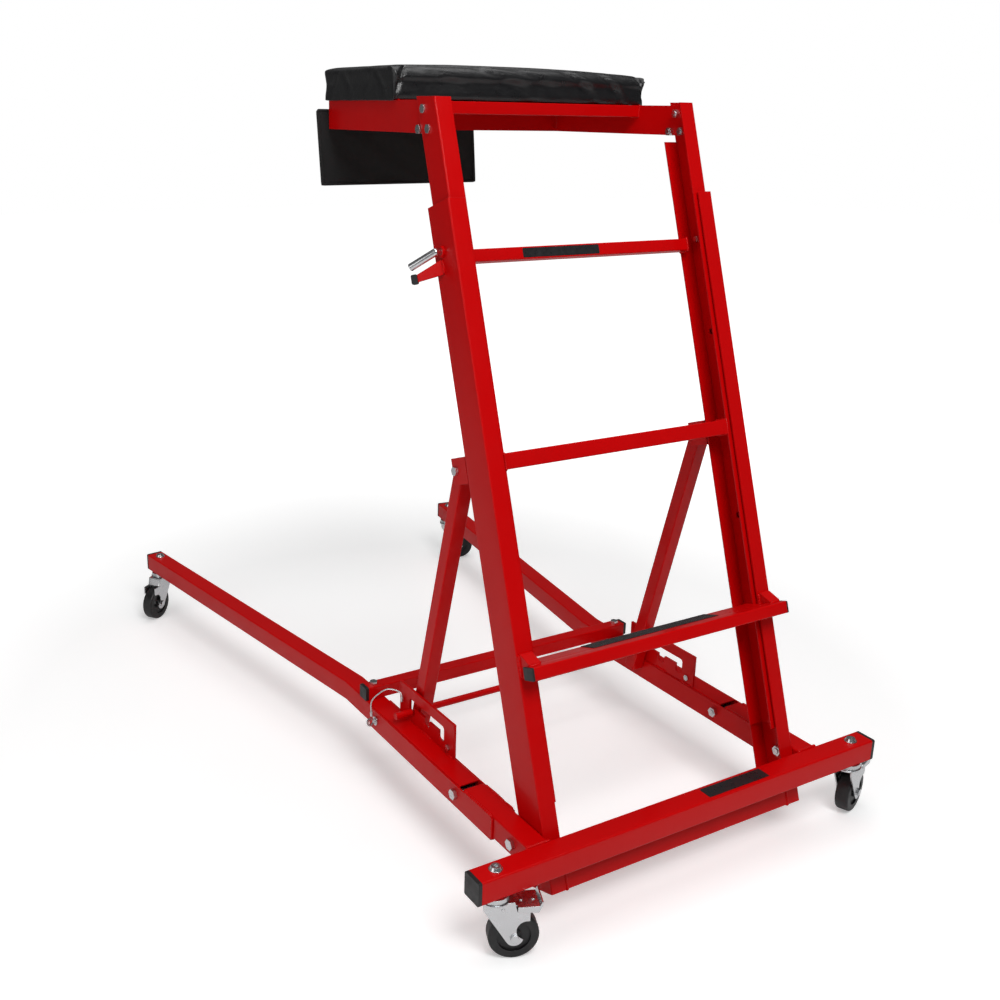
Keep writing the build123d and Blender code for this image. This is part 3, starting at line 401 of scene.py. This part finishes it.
# ---------------------------------------------------------------- welds
# places of the seams, in metres: X from the middle, Y behind the crossbar, then heights
STUB_X = (0.2605, 0.2985)
CHANNEL_TOP_X = (0.2990, 0.2600)
CHANNEL_TOP_Y = (0.113, 0.192)
CHANNEL_TOP_Z = 0.1436
CHANNEL_FRONT_X = (0.2995, 0.2595)
CHANNEL_FRONT_Y = 0.111
CHANNEL_FRONT_Z = (0.1420, 0.1065)
SLOT_BRACKET_X = (0.2652, 0.2603)
SLOT_BRACKET_Y = (0.286, 0.356, 0.428)
SLOT_BRACKET_STITCH = 0.032
DECK_INSIDE = 0.2437
DECK_TUBE_Y = (0.523, 0.543)
DECK_TUBE_Z = (1.1685, 1.1875)
DECK_CORNERS = ((0.2437, 0.7698, 0.0022), (0.2445, 0.7728, 0.0018))  # X, Y and radius of the beads
DECK_CORNER_Z = (1.141, 1.186)
# loops round members: X, stations, offsets, radius of the bead
CROSS_MEMBER_LOOP = (0.2312, -0.083, -0.053, -0.030, -0.008, 0.0022)
RUNG_LOOPS = (
    (0.2252, 0.874, 0.894, 0.008, 0.028, 0.0020),
    (0.2252, 0.5535, 0.5785, -0.024, 0.001, 0.0022),
)
# seams on the lower ladder: start and end as X, offset and station, then radius and pitch of the bead
OUTER_SEAMS = (
    # step bar's tabs on the rails
    ((0.2338, -0.0305, 0.245), (0.2338, -0.0305, 0.279), 0.0030, 0.0048),
    ((0.2562, -0.0305, 0.245), (0.2562, -0.0305, 0.279), 0.0030, 0.0048),
    # step bar on its tabs
    ((0.235, -0.0545, 0.2635), (0.255, -0.0545, 0.2635), 0.0024, BEAD_PITCH),
    ((0.2306, -0.042, 0.2595), (0.2306, -0.030, 0.2595), 0.0020, BEAD_PITCH),
    # strut brackets
    ((0.230, 0.0345, 0.5402), (0.258, 0.0345, 0.5402), 0.0024, BEAD_PITCH),
    ((0.230, 0.0345, 0.5818), (0.258, 0.0345, 0.5818), 0.0024, BEAD_PITCH),
    ((0.2283, 0.0345, 0.543), (0.2283, 0.0345, 0.579), 0.0022, BEAD_PITCH),
    # latch brackets
    ((0.2606, 0.0105, 0.859), (0.2606, 0.0105, 0.880), 0.0022, BEAD_PITCH),
)


def ladder_loop(bm, side, loop):
    """Bead round a member that meets a rail, in the plane at X."""
    x, low, high, front, rear, radius = loop
    corners = ((front, low), (rear, low), (rear, high), (front, high))
    bead(bm, [ladder(side * x, offset, station) for offset, station in corners], radius, closed=True)


base_welds = bmesh.new()
for s in SIDES:
    inner, outer = (s * x for x in STUB_X)
    y = BAR_Y + TUBE_HALF
    low, high = TUBE_BOTTOM, TUBE_TOP
    seam = [(inner, y, low), (outer, y, low), (outer, y, high), (inner, y, high)]
    bead(base_welds, seam, 0.0030, closed=True)
    for x in CHANNEL_TOP_X:
        seam = [(s * x, BAR_Y + along, CHANNEL_TOP_Z) for along in CHANNEL_TOP_Y]
        bead(base_welds, seam, 0.0032, 0.0052)
    outer, inner = (s * x for x in CHANNEL_FRONT_X)
    y = BAR_Y + CHANNEL_FRONT_Y
    top, bottom = CHANNEL_FRONT_Z
    seam = [(outer, y, top), (outer, y, bottom), (inner, y, bottom), (inner, y, top)]
    bead(base_welds, seam, 0.0026)
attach(mesh_object("welds_base", base_welds, "red_steel"), "base")

leg_welds = bmesh.new()
for s in SIDES:
    for x in SLOT_BRACKET_X:
        for start in SLOT_BRACKET_Y:
            y = BAR_Y + start
            bead(leg_welds, [(s * x, y, TUBE_TOP), (s * x, y + SLOT_BRACKET_STITCH, TUBE_TOP)], 0.0025)
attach(mesh_object("welds_legs", leg_welds, "red_steel"), "legs")

outer_welds = bmesh.new()
for s in SIDES:
    ladder_loop(outer_welds, s, CROSS_MEMBER_LOOP)
    for start, end, radius, pitch in OUTER_SEAMS:
        seam = [ladder(s * x, offset, station) for x, offset, station in (start, end)]
        bead(outer_welds, seam, radius, pitch)
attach(mesh_object("welds_outer_ladder", outer_welds, "red_steel"), "outer_ladder")

inner_welds = bmesh.new()
for s in SIDES:
    for loop in RUNG_LOOPS:
        ladder_loop(inner_welds, s, loop)
    x = s * DECK_INSIDE
    front, rear = (BAR_Y + y for y in DECK_TUBE_Y)
    low, high = DECK_TUBE_Z
    seam = [(x, front, low), (x, rear, low), (x, rear, high), (x, front, high)]
    bead(inner_welds, seam, 0.0020, closed=True)
    for x, y, radius in DECK_CORNERS:
        bead(inner_welds, [(s * x, BAR_Y + y, z) for z in DECK_CORNER_Z], radius)
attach(mesh_object("welds_inner_ladder", inner_welds, "red_steel"), "inner_ladder")


# ---------------------------------------------------------------- latch tips and plain stickers
def plate(bm, corner, across, up, thickness, radius=0.0015):
    """Thin rounded plate: corner, two edge vectors, thickness along their cross product."""
    width, height = across.length, up.length
    a, b = across.normalized(), up.normalized()
    n = a.cross(b)
    corners = (
        (radius, radius, 180),
        (width - radius, radius, 270),
        (width - radius, height - radius, 0),
        (radius, height - radius, 90),
    )
    outline = []
    for cx, cy, start in corners:
        for k in range(5):
            t = math.radians(start + 22.5 * k)
            outline.append(corner + a * (cx + radius * math.cos(t)) + b * (cy + radius * math.sin(t)))
    low = [bm.verts.new(p) for p in outline]
    high = [bm.verts.new(p + n * thickness) for p in outline]
    bm.faces.new(low)
    bm.faces.new(high)
    for k in range(len(low)):
        m = (k + 1) % len(low)
        bm.faces.new((low[k], low[m], high[m], high[k]))


LATCH_PLANE = (0.260, 0.009, 0.892)  # X, offset and station where the latch bracket's plate starts
TIP_OUT, TIP_DOWN = 0.0440, 0.0405  # the tip's lower inner corner, along the plate and down the ladder
TIP_WIDE, TIP_HIGH, TIP_THICK, TIP_ROUND = 0.0100, 0.0150, 0.0068, 0.0025
TIP_DEPTHS = {-1: -0.0019, 1: -0.0049}  # square to the plate; the plate is built from opposite faces
STICKER_THICK = 0.0004

bm = bmesh.new()
for s in SIDES:
    x, offset, station = LATCH_PLANE
    outward = (Vector((s, 0, 0)) + REARWARD).normalized()
    depth = outward.cross(ALONG) * TIP_DEPTHS[s]
    corner = ladder(s * x, offset, station) + outward * TIP_OUT - ALONG * TIP_DOWN + depth
    plate(bm, corner, outward * TIP_WIDE, ALONG * TIP_HIGH, TIP_THICK, TIP_ROUND)
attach(mesh_object("latch_tips", bm, "black_plastic", smooth=False), "outer_ladder")
bm = bmesh.new()
plate(bm, ladder(-0.115, 0.008, 0.8765), Vector((0.150, 0, 0)), ALONG * 0.015, STICKER_THICK)
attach(mesh_object("rung_sticker", bm, "sticker", smooth=False), "inner_ladder")
bm = bmesh.new()
sticker_corner = Vector((0.030, BAR_Y - 0.0125, TUBE_TOP))
plate(bm, sticker_corner, Vector((0.130, 0, 0)), Vector((0, 0.025, 0)), STICKER_THICK)
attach(mesh_object("crossbar_sticker", bm, "sticker", smooth=False), "base")


# ---------------------------------------------------------------- cloth helpers
CLOTH_FRAMES = 20


def active(obj):
    bpy.ops.object.select_all(action="DESELECT")
    bpy.context.view_layer.objects.active = obj
    obj.select_set(True)


def mesh_points(mesh):
    co = np.zeros(len(mesh.vertices) * 3)
    mesh.vertices.foreach_get("co", co)
    return co.reshape(-1, 3)


def put_vertices(obj, co):
    obj.data.vertices.foreach_set("co", co.astype(np.float32).ravel())
    obj.data.update()


def inflate(obj, voxel, pressure, cap):
    """Remesh a closed form and let cloth pressure fill it, no point moving further than the cap."""
    remesh = obj.modifiers.new("remesh", "REMESH")
    remesh.mode = "VOXEL"
    remesh.voxel_size = voxel
    active(obj)
    bpy.ops.object.modifier_apply(modifier=remesh.name)
    rest = mesh_points(obj.data)
    cloth = obj.modifiers.new("cloth", "CLOTH")
    cloth.settings.use_pressure = True
    cloth.settings.uniform_pressure_force = pressure
    cloth.settings.effector_weights.gravity = 0
    cloth.settings.quality = 6
    cloth.settings.mass = 0.25
    cloth.settings.tension_stiffness = 25
    cloth.settings.compression_stiffness = 8
    cloth.settings.bending_stiffness = 0.8
    scene = bpy.context.scene
    for number in range(1, CLOTH_FRAMES + 1):
        scene.frame_set(number)
    moved = obj.evaluated_get(bpy.context.evaluated_depsgraph_get()).to_mesh()
    step = mesh_points(moved) - rest
    far = np.linalg.norm(step, axis=1)[:, None]
    obj.modifiers.remove(cloth)
    scene.frame_set(1)
    put_vertices(obj, rest + step * np.minimum(1.0, cap / np.maximum(far, 1e-9)))


def subdivided(obj):
    sub = obj.modifiers.new("smooth", "SUBSURF")
    sub.levels = sub.render_levels = 1
    active(obj)
    bpy.ops.object.modifier_apply(modifier=sub.name)
    obj.data.polygons.foreach_set("use_smooth", [True] * len(obj.data.polygons))


def ramp(value, start, width):
    """0 up to the start, 1 from a width past it, straight in between."""
    return np.clip((value - start) / width, 0, 1)


def crease_field(u, v, start, end, width):
    """Strength of a crease from start to end in a face's own two directions, fading at its ends."""
    start, end = np.array(start), np.array(end)
    line = end - start
    t = ((u - start[0]) * line[0] + (v - start[1]) * line[1]) / (line @ line)
    near = np.clip(t, 0, 1)
    away = np.hypot(u - start[0] - near * line[0], v - start[1] - near * line[1])
    return np.exp(-((away / width) ** 2)) * (0.08 + 3.6 * near * (1 - near))


# ---------------------------------------------------------------- pad
PAD_SHRINK = Vector((0.0015, 0.0025, 0.0025))  # how far inside its box the block starts
PAD_VOXEL = 0.0045
PAD_PRESSURE = 4.0
PAD_SWELL = 0.0035
ROLL = 0.021  # radius of the front's soft upper edge
ROLL_INSET = 0.0015
CROWN = 0.0030
DECK_HALF_X = 0.2475  # outer faces of the deck's side plates
RIM = 0.012  # width of the rim that hangs over the board's edge
RIM_DROP, OVERHANG_DROP = 0.0029, 0.0030
# folds: start and end as X and distance up the front face, width, depth
PAD_FOLDS = (
    (-0.105, 0.064, 0.060, -0.004, 0.0105, 0.0050),
    (-0.020, 0.058, 0.100, 0.006, 0.0085, 0.0026),
    (0.075, 0.064, 0.170, -0.004, 0.0090, 0.0048),
    (0.150, 0.062, 0.224, -0.004, 0.0080, 0.0046),
    (-0.220, 0.060, -0.080, 0.006, 0.0100, 0.0028),
)
# lapped corners: side, distance of the seam from the end, bow of the seam
PAD_LAPS = ((-1, 0.006, 0.012), (1, 0.004, 0.004))
# drag lines on the ends: Y from the middle, lean, depth
PAD_END_LINES = (
    (-0.085, 0.9, 0.0016),
    (-0.035, -0.7, 0.0010),
    (0.035, 0.8, 0.0012),
    (0.090, -0.9, 0.0016),
)
REAR_LINES = 9
LINE_FOOT = 0.02  # height at which a drag line's place is given


class PadCover:
    """Vinyl cover pulled over a foam block: crisp flared ends, soft front edge, lapped front corners."""

    def __init__(self):
        self.low, self.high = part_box("pad")
        self.centre = (self.low + self.high) / 2
        self.half = (self.high - self.low) / 2
        self.tall = 2 * self.half.z
        self.obj = self.filled_block()
        self.x, self.y, self.z = mesh_points(self.obj.data).T.copy()
        # shares of the pad's size, from -1 to 1 across and from 0 to 1 up
        self.ux = (self.x - self.centre.x) / self.half.x
        self.uy = (self.y - self.centre.y) / self.half.y
        self.uz = np.clip((self.z - self.low.z) / self.tall, 0, 1)
        # distance up the front face and then back over the top, for folds that cross the rounded edge
        self.front_gap = np.clip(self.y - self.low.y, 0, None)
        self.top_gap = np.clip(self.high.z - self.z, 0, None)
        self.run = self.tall - self.top_gap + self.front_gap
        turn = np.clip((self.front_gap - self.top_gap) / ROLL, -1, 1)
        self.angle = (1 - turn) * math.pi / 4
        self.roll_front(turn)
        self.crown_and_flare()
        self.fold_front()
        self.lap_corners()
        self.drag_lines()
        self.draw_down()
        put_vertices(self.obj, np.stack([self.x, self.y, self.z], 1))

    def filled_block(self):
        bm = bmesh.new()
        bmesh.ops.create_cube(bm, size=2.0)
        for v in bm.verts:
            v.co = Vector([v.co[k] * (self.half[k] - PAD_SHRINK[k]) for k in range(3)]) + self.centre
        bmesh.ops.bevel(bm, geom=list(bm.edges), offset=0.003, segments=2, profile=0.6, affect="EDGES")
        obj = mesh_object("pad_cover", bm, "vinyl")
        inflate(obj, PAD_VOXEL, PAD_PRESSURE, PAD_SWELL)
        subdivided(obj)
        return obj

    def roll_front(self, turn):
        """Bring the points near the front's upper edge onto the soft roll."""
        near = (np.minimum(self.front_gap, self.top_gap) < 0.008) * ramp(1 - np.abs(turn), 0, 0.35)
        near = near * near * (3 - 2 * near)
        inset = ROLL_INSET + ROLL * (1 - np.sin(self.angle))
        sunk = ROLL_INSET + ROLL * (1 - np.cos(self.angle))
        self.y = self.y + near * (self.low.y + inset - self.y)
        self.z = self.z + near * (self.high.z - sunk - self.z)

    def crown_and_flare(self):
        """Crown the top, draw it down toward the right, and flare the ends outward toward the top."""
        ux, uy, uz = self.ux, self.uy, self.uz
        crown = CROWN * (1 - ux**2) * (1 - np.abs(uy) ** 3)
        fall = 0.0060 * np.clip(ux, 0, 1) ** 2 + 0.0045 * np.clip(-ux - 0.55, 0, 1)
        self.z = self.z + uz * (crown - fall)
        self.x = self.x + np.sign(ux) * ramp(np.abs(ux), 0.90, 0.09) * (0.0020 + 0.0065 * uz**1.5)
        self.y = self.y + ramp(uy, 0.85, 0.14) * 0.0050 * uz**1.5

    def fold_front(self):
        """Long soft folds in the front face, running down to the right, each with a ridge beside it."""
        inward = np.zeros_like(self.x)
        for x0, h0, x1, h1, width, depth in PAD_FOLDS:
            inward += depth * crease_field(self.x, self.run, (x0, h0), (x1, h1), width)
            x0, x1 = x0 + 1.8 * width, x1 + 1.8 * width
            inward -= 0.7 * depth * crease_field(self.x, self.run, (x0, h0), (x1, h1), width)
        inward = inward * (1 - ramp(self.front_gap, 0.06, 0.05))
        self.y = self.y + inward * np.sin(self.angle)
        self.z = self.z - inward * np.cos(self.angle) * (self.uz > 0.5)

    def lap_corners(self):
        """The end's cover folds round onto the front in a curved step."""
        on_front = 1 - ramp(self.front_gap, 0.012, 0.008)
        for s, shift, bow in PAD_LAPS:
            seam = self.half.x - shift - bow * np.clip(self.run / self.tall, 0, 1.3) ** 2
            past = s * (self.x - self.centre.x) - seam
            lap = 1 / (1 + np.exp(-np.clip(past / 0.0012, -40, 40)))
            groove = np.exp(-((past / 0.0032) ** 2))
            self.y = self.y - (0.0026 * lap - 0.0050 * groove) * on_front
            self.z = self.z - (0.0045 * groove - 0.0015 * lap) * on_front * (self.uz > 0.55)

    def drag_lines(self):
        """Shallow lines where the cover is pulled tight over the ends and the rear."""
        for s in SIDES:
            side = ramp(s * self.ux, 0.90, 0.08)
            for place, lean, depth in PAD_END_LINES:
                line = (self.y - self.centre.y) - place - lean * (self.z - self.low.z - LINE_FOOT)
                self.x = self.x - s * depth * np.exp(-((line / 0.010) ** 2)) * side
        rear = ramp(self.uy, 0.80, 0.15)
        for k in range(REAR_LINES):
            place = -0.21 + 0.052 * k + 0.008 * math.sin(3.1 * k)
            lean = 0.25 if k % 2 else -0.3
            line = (self.x - place) - lean * (self.z - self.low.z - LINE_FOOT)
            self.y = self.y - 0.0020 * np.exp(-((line / 0.007) ** 2)) * rear

    def draw_down(self):
        """The lower edge is stapled under the board: the skirt is at its full size and its rim hangs."""
        skirt = 1 - ramp(self.uz, 0, 0.45)
        for s in SIDES:
            short = np.clip(self.half.x - s * (self.x - self.centre.x), 0, 0.008)
            self.x = self.x + s * short * skirt * ramp(s * self.ux, 0.93, 0.04)
            short = np.clip(self.half.y - s * (self.y - self.centre.y), 0, 0.008)
            self.y = self.y + s * short * skirt * ramp(s * self.uy, 0.91, 0.05)
        across, along = np.abs(self.x - self.centre.x), np.abs(self.y - self.centre.y)
        rim = ramp(np.maximum(across - self.half.x, along - self.half.y), -RIM, 0.005)
        overhang = ramp(np.maximum(across - DECK_HALF_X, self.y - self.high.y + 0.006), 0, 0.002)
        drop = RIM_DROP * rim + OVERHANG_DROP * overhang
        z = np.maximum(self.z, self.low.z + 0.0002)
        z = np.where(self.uz < 0.14, self.low.z + 0.15 * (z - self.low.z), z)
        self.z = z - drop * (1 - ramp(self.uz, 0, 0.35))


pad = PadCover().obj
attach(pad, "inner_ladder")
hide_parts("pad")


# ---------------------------------------------------------------- tool pouch
POCKET_SEAMS = (0.34, 0.67)  # shares of the width at which the pocket is sewn to the back
CHANNEL_WIDTH = 0.025
EDGE_STEPS = 14
STITCH_SPACING, STITCH_LENGTH, STITCH_R = 0.0042, 0.0030, 0.00045


def stitch_row(bm, points):
    """Short raised stitches along a line."""
    centres, _ = resample(points, STITCH_SPACING)
    for a, b in zip(centres, centres[1:]):
        run = (b - a) / max(np.linalg.norm(b - a), 1e-9)
        mid = (a + b) / 2
        line = np.array([mid + run * STITCH_LENGTH * t for t in (-0.5, -0.3, 0.0, 0.3, 0.5)])
        sweep(bm, line, np.array([0.3, 0.9, 1.0, 0.9, 0.3]) * STITCH_R, 5)


def rim_of(grid):
    """Points round a grid's edge, in order."""
    return grid[0] + [row[-1] for row in grid[1:]] + grid[-1][-2::-1] + [row[0] for row in grid[-2:0:-1]]


def cloth_panel(name, corners, thickness, bulge, columns, rows, channels=()):
    """Closed cloth panel between four corners, bulging to the rear, pinched at sewn channels."""
    bl, br, tr, tl = [np.array(c, float) for c in corners]
    bm = bmesh.new()
    grids = []
    for face in (0, 1):
        grid = []
        for j in range(rows + 1):
            v = j / rows
            line = []
            for i in range(columns + 1):
                u = i / columns
                p = (bl * (1 - u) + br * u) * (1 - v) + (tl * (1 - u) + tr * u) * v
                swell = math.sin(math.pi * u) ** 0.6 * math.sin(math.pi * v) ** 0.6
                for c in channels:
                    swell *= 1 - 0.85 * math.exp(-(((u - c) / CHANNEL_WIDTH) ** 2))
                wobble = 0.0012 * math.sin(17 * u + 5 * v) * math.sin(9 * v + 3 * u)
                half = thickness / 2 * min(1.0, 0.25 + min(u, 1 - u, v, 1 - v) * EDGE_STEPS)
                out = (bulge * swell + wobble + half) if face else (-half + 0.4 * bulge * swell + wobble)
                line.append(bm.verts.new(p + np.array([0, out, 0])))
            grid.append(line)
        grids.append(grid)
    for face, grid in enumerate(grids):
        for j in range(rows):
            for i in range(columns):
                quad = (grid[j][i], grid[j][i + 1], grid[j + 1][i + 1], grid[j + 1][i])
                bm.faces.new(quad if face else quad[::-1])
    rim_front, rim_back = (rim_of(grid) for grid in grids)
    for k in range(len(rim_front)):
        n = (k + 1) % len(rim_front)
        bm.faces.new((rim_front[k], rim_front[n], rim_back[n], rim_back[k]))
    return mesh_object(name, bm, "cloth")


def make_pouch():
    """Back panel with bound edges and a shorter pocket in front of it, sewn into three."""
    low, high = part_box("tool_pouch")
    left, right, bottom, top = low.x, high.x, low.z, high.z
    y = low.y + 0.002

    back_corners = (
        (left + 0.010, y, bottom + 0.002),
        (right - 0.003, y, bottom + 0.004),
        (right - 0.012, y, top - 0.001),
        (left + 0.002, y, top - 0.001),
    )
    back = cloth_panel("pouch_back", back_corners, 0.0022, 0.0012, 60, 26)
    pocket_y = y + 0.0035
    pocket_corners = (
        (left + 0.012, pocket_y, bottom + 0.004),
        (right - 0.005, pocket_y, bottom + 0.006),
        (right - 0.011, pocket_y, top - 0.038),
        (left + 0.005, pocket_y, top - 0.038),
    )
    pocket = cloth_panel("pouch_pocket", pocket_corners, 0.0020, 0.0040, 72, 24, POCKET_SEAMS)
    for piece in (back, pocket):
        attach(piece, "inner_ladder")
    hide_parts("tool_pouch")

    bm = bmesh.new()
    outline = [
        (left + 0.010, y, bottom + 0.003),
        (right - 0.003, y, bottom + 0.005),
        (right - 0.012, y, top - 0.002),
        (left + 0.002, y, top - 0.002),
    ]
    centres, _ = resample(outline + [outline[0]], 0.004)
    sweep(bm, centres[:-1], np.full(len(centres) - 1, 0.0026), 8, closed=True)
    hem = [(left + 0.005, y + 0.0045, top - 0.0385), (right - 0.011, y + 0.0045, top - 0.0385)]
    centres, _ = resample(hem, 0.004)
    centres[:, 1] += 0.0012 * np.sin(np.pi * np.linspace(0, 1, len(centres)) * 3) ** 2
    sweep(bm, centres, np.full(len(centres), 0.0019), 8)
    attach(mesh_object("pouch_binding", bm, "cloth"), "inner_ladder")

    bm = bmesh.new()
    for share in POCKET_SEAMS:
        x = left + 0.008 + share * (right - left - 0.016)
        stitch_row(bm, [(x, y + 0.0060, bottom + 0.008), (x, y + 0.0060, top - 0.042)])
    foot_y = y + 0.0058
    stitch_row(bm, [(left + 0.016, foot_y, bottom + 0.008), (right - 0.012, foot_y, bottom + 0.010)])
    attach(mesh_object("pouch_stitches", bm, "thread"), "inner_ladder")


make_pouch()


# ---------------------------------------------------------------- lanyards
CABLE_POINTS = 90
CABLE_SMOOTHING = 31  # points in the smoothing window; odd
STRANDS = 6
STRAND_LAY = 0.011  # length of one full turn of a strand
STRAND_OFFSET, STRAND_R = 0.00085, 0.00062
FERRULE = [(0, 0), (0.0024, 0.0), (0.0026, 0.0006), (0.0026, 0.0078), (0.0022, 0.0086), (0, 0.0086)]


def cable_path(side):
    """Smooth arc from the bracket's screw up and over to the hitch pin's ring."""
    start = np.array([side * 0.2688, BAR_Y + 0.452, 0.170])
    crest = np.array([side * 0.2880, BAR_Y + 0.474, 0.1945])
    end = np.array([side * 0.3110, HITCH_Y - 0.001, 0.1345])
    lift = np.array([0.0, 0.004, 0.034])
    points = [start, start + lift * 0.6, crest, end + np.array([side * 0.003, 0.0, 0.036]), end]
    knots = np.linspace(0, 1, len(points))
    t = np.linspace(0, 1, CABLE_POINTS)
    path = np.stack([np.interp(t, knots, [p[axis] for p in points]) for axis in range(3)], 1)
    kernel = np.hanning(CABLE_SMOOTHING)
    kernel /= kernel.sum()
    ends = CABLE_SMOOTHING // 2
    padded = np.concatenate([np.repeat(path[:1], ends, 0), path, np.repeat(path[-1:], ends, 0)])
    return np.stack([np.convolve(padded[:, axis], kernel, "valid") for axis in range(3)], 1)


def unit_rows(rows):
    return rows / np.linalg.norm(rows, axis=1)[:, None]


for s, name in zip(SIDES, ("left", "right")):
    path = cable_path(s)
    tangents = unit_rows(np.gradient(path, axis=0))
    travelled = np.concatenate([[0], np.cumsum(np.linalg.norm(np.diff(path, axis=0), axis=1))])
    side = unit_rows(np.cross(tangents, (1.0, 0.15, 0.1)))
    up = np.cross(tangents, side)
    bm = bmesh.new()
    for strand in range(STRANDS):
        angle = (travelled / STRAND_LAY * 2 * math.pi + strand * 2 * math.pi / STRANDS)[:, None]
        line = path + STRAND_OFFSET * (side * np.cos(angle) + up * np.sin(angle))
        sweep(bm, line, np.full(len(line), STRAND_R), 6)
    for end, run in ((0, 1), (-1, -1)):
        lathe(bm, FERRULE, path[end], tangents[end] * run, 16)
    cable = mesh_object(f"lanyard_{name}", bm, "cable")
    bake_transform(cable)
    if s < 0:
        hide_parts("lanyards")


# ---------------------------------------------------------------- floor, light and camera
FLOOR_SIZE = 12.0
FLOOR_GLOW = (0.36, 1.0)  # light that the camera alone sees, near the object and far from it
GLOW_REACH = (0.9, 2.3)
ROOM_LIGHT = 0.10
CAMERA_PLACE = (-1.171, -1.873, 1.1685)
CAMERA_LOOK = (0.4906, 0.8197, -0.2957)
CAMERA_UP = (0.1368, 0.2626, 0.9550)
CAMERA_LENS, CAMERA_SENSOR = 42.03, 36.0
CAMERA_SHIFT = (0.0604, -0.0252)


def floor_material():
    s = Shader("pale_floor")
    base = s.mix(s.noise(2.0, 3.0), rgb(0.86, 0.86, 0.86), rgb(0.90, 0.90, 0.90))
    s.set(Base_Color=base, Roughness=s.remap(s.noise(3.0), 0.5, 0.6), Specular_IOR_Level=0.2)
    # seen from the camera, the floor fades to white far from the object, so that no horizon shows
    seen = s.add("ShaderNodeLightPath").outputs["Is Camera Ray"]
    away = s.add("ShaderNodeVectorMath", {0: s.coord}, operation="LENGTH").outputs["Value"]
    glow = s.math("MULTIPLY", seen, s.remap(away, *FLOOR_GLOW, *GLOW_REACH))
    s.set(Emission_Color=rgb(1, 1, 1), Emission_Strength=glow)
    return s.mat


bm = bmesh.new()
bmesh.ops.create_grid(bm, x_segments=2, y_segments=2, size=FLOOR_SIZE)
data = bpy.data.meshes.new("floor")
bm.to_mesh(data)
bm.free()
floor = bpy.data.objects.new("floor", data)
bpy.context.scene.collection.objects.link(floor)
data.materials.append(floor_material())


def area_light(name, position, target, size, power):
    data = bpy.data.lights.new(name, "AREA")
    data.shape = "RECTANGLE"
    data.size = data.size_y = size
    data.energy = power
    obj = bpy.data.objects.new(name, data)
    bpy.context.scene.collection.objects.link(obj)
    obj.location = position
    obj.rotation_euler = (Vector(target) - Vector(position)).to_track_quat("-Z", "Y").to_euler()


area_light("key", (-0.6, -2.8, 3.6), (0, -0.2, 0.5), 1.8, 100)
area_light("overhead", (0.2, 0.3, 4.0), (0, 0, 0), 3.0, 50)
area_light("left_fill", (-3.4, -0.8, 1.4), (0, 0, 0.6), 2.0, 20)

world = bpy.data.worlds.new("studio")
bpy.context.scene.world = world
world.use_nodes = True
tree = world.node_tree
seen = tree.nodes.new("ShaderNodeLightPath").outputs["Is Camera Ray"]
level = tree.nodes.new("ShaderNodeMapRange")
level.inputs["To Min"].default_value = ROOM_LIGHT
level.inputs["To Max"].default_value = 1.0
tree.links.new(seen, level.inputs["Value"])
tree.links.new(level.outputs["Result"], tree.nodes["Background"].inputs["Strength"])
tree.nodes["Background"].inputs["Color"].default_value = (1, 1, 1, 1)

camera_data = bpy.data.cameras.new("camera")
camera = bpy.data.objects.new("camera", camera_data)
bpy.context.scene.collection.objects.link(camera)
look = Vector(CAMERA_LOOK).normalized()
right = look.cross(Vector(CAMERA_UP)).normalized()
above = right.cross(look).normalized()
turn = Matrix((right, above, -look)).transposed()
camera.matrix_world = Matrix.Translation(CAMERA_PLACE) @ turn.to_4x4()
camera_data.lens = CAMERA_LENS
camera_data.sensor_width = CAMERA_SENSOR
camera_data.shift_x, camera_data.shift_y = CAMERA_SHIFT
bpy.context.scene.camera = camera
bpy.context.scene.view_settings.view_transform = "Standard"
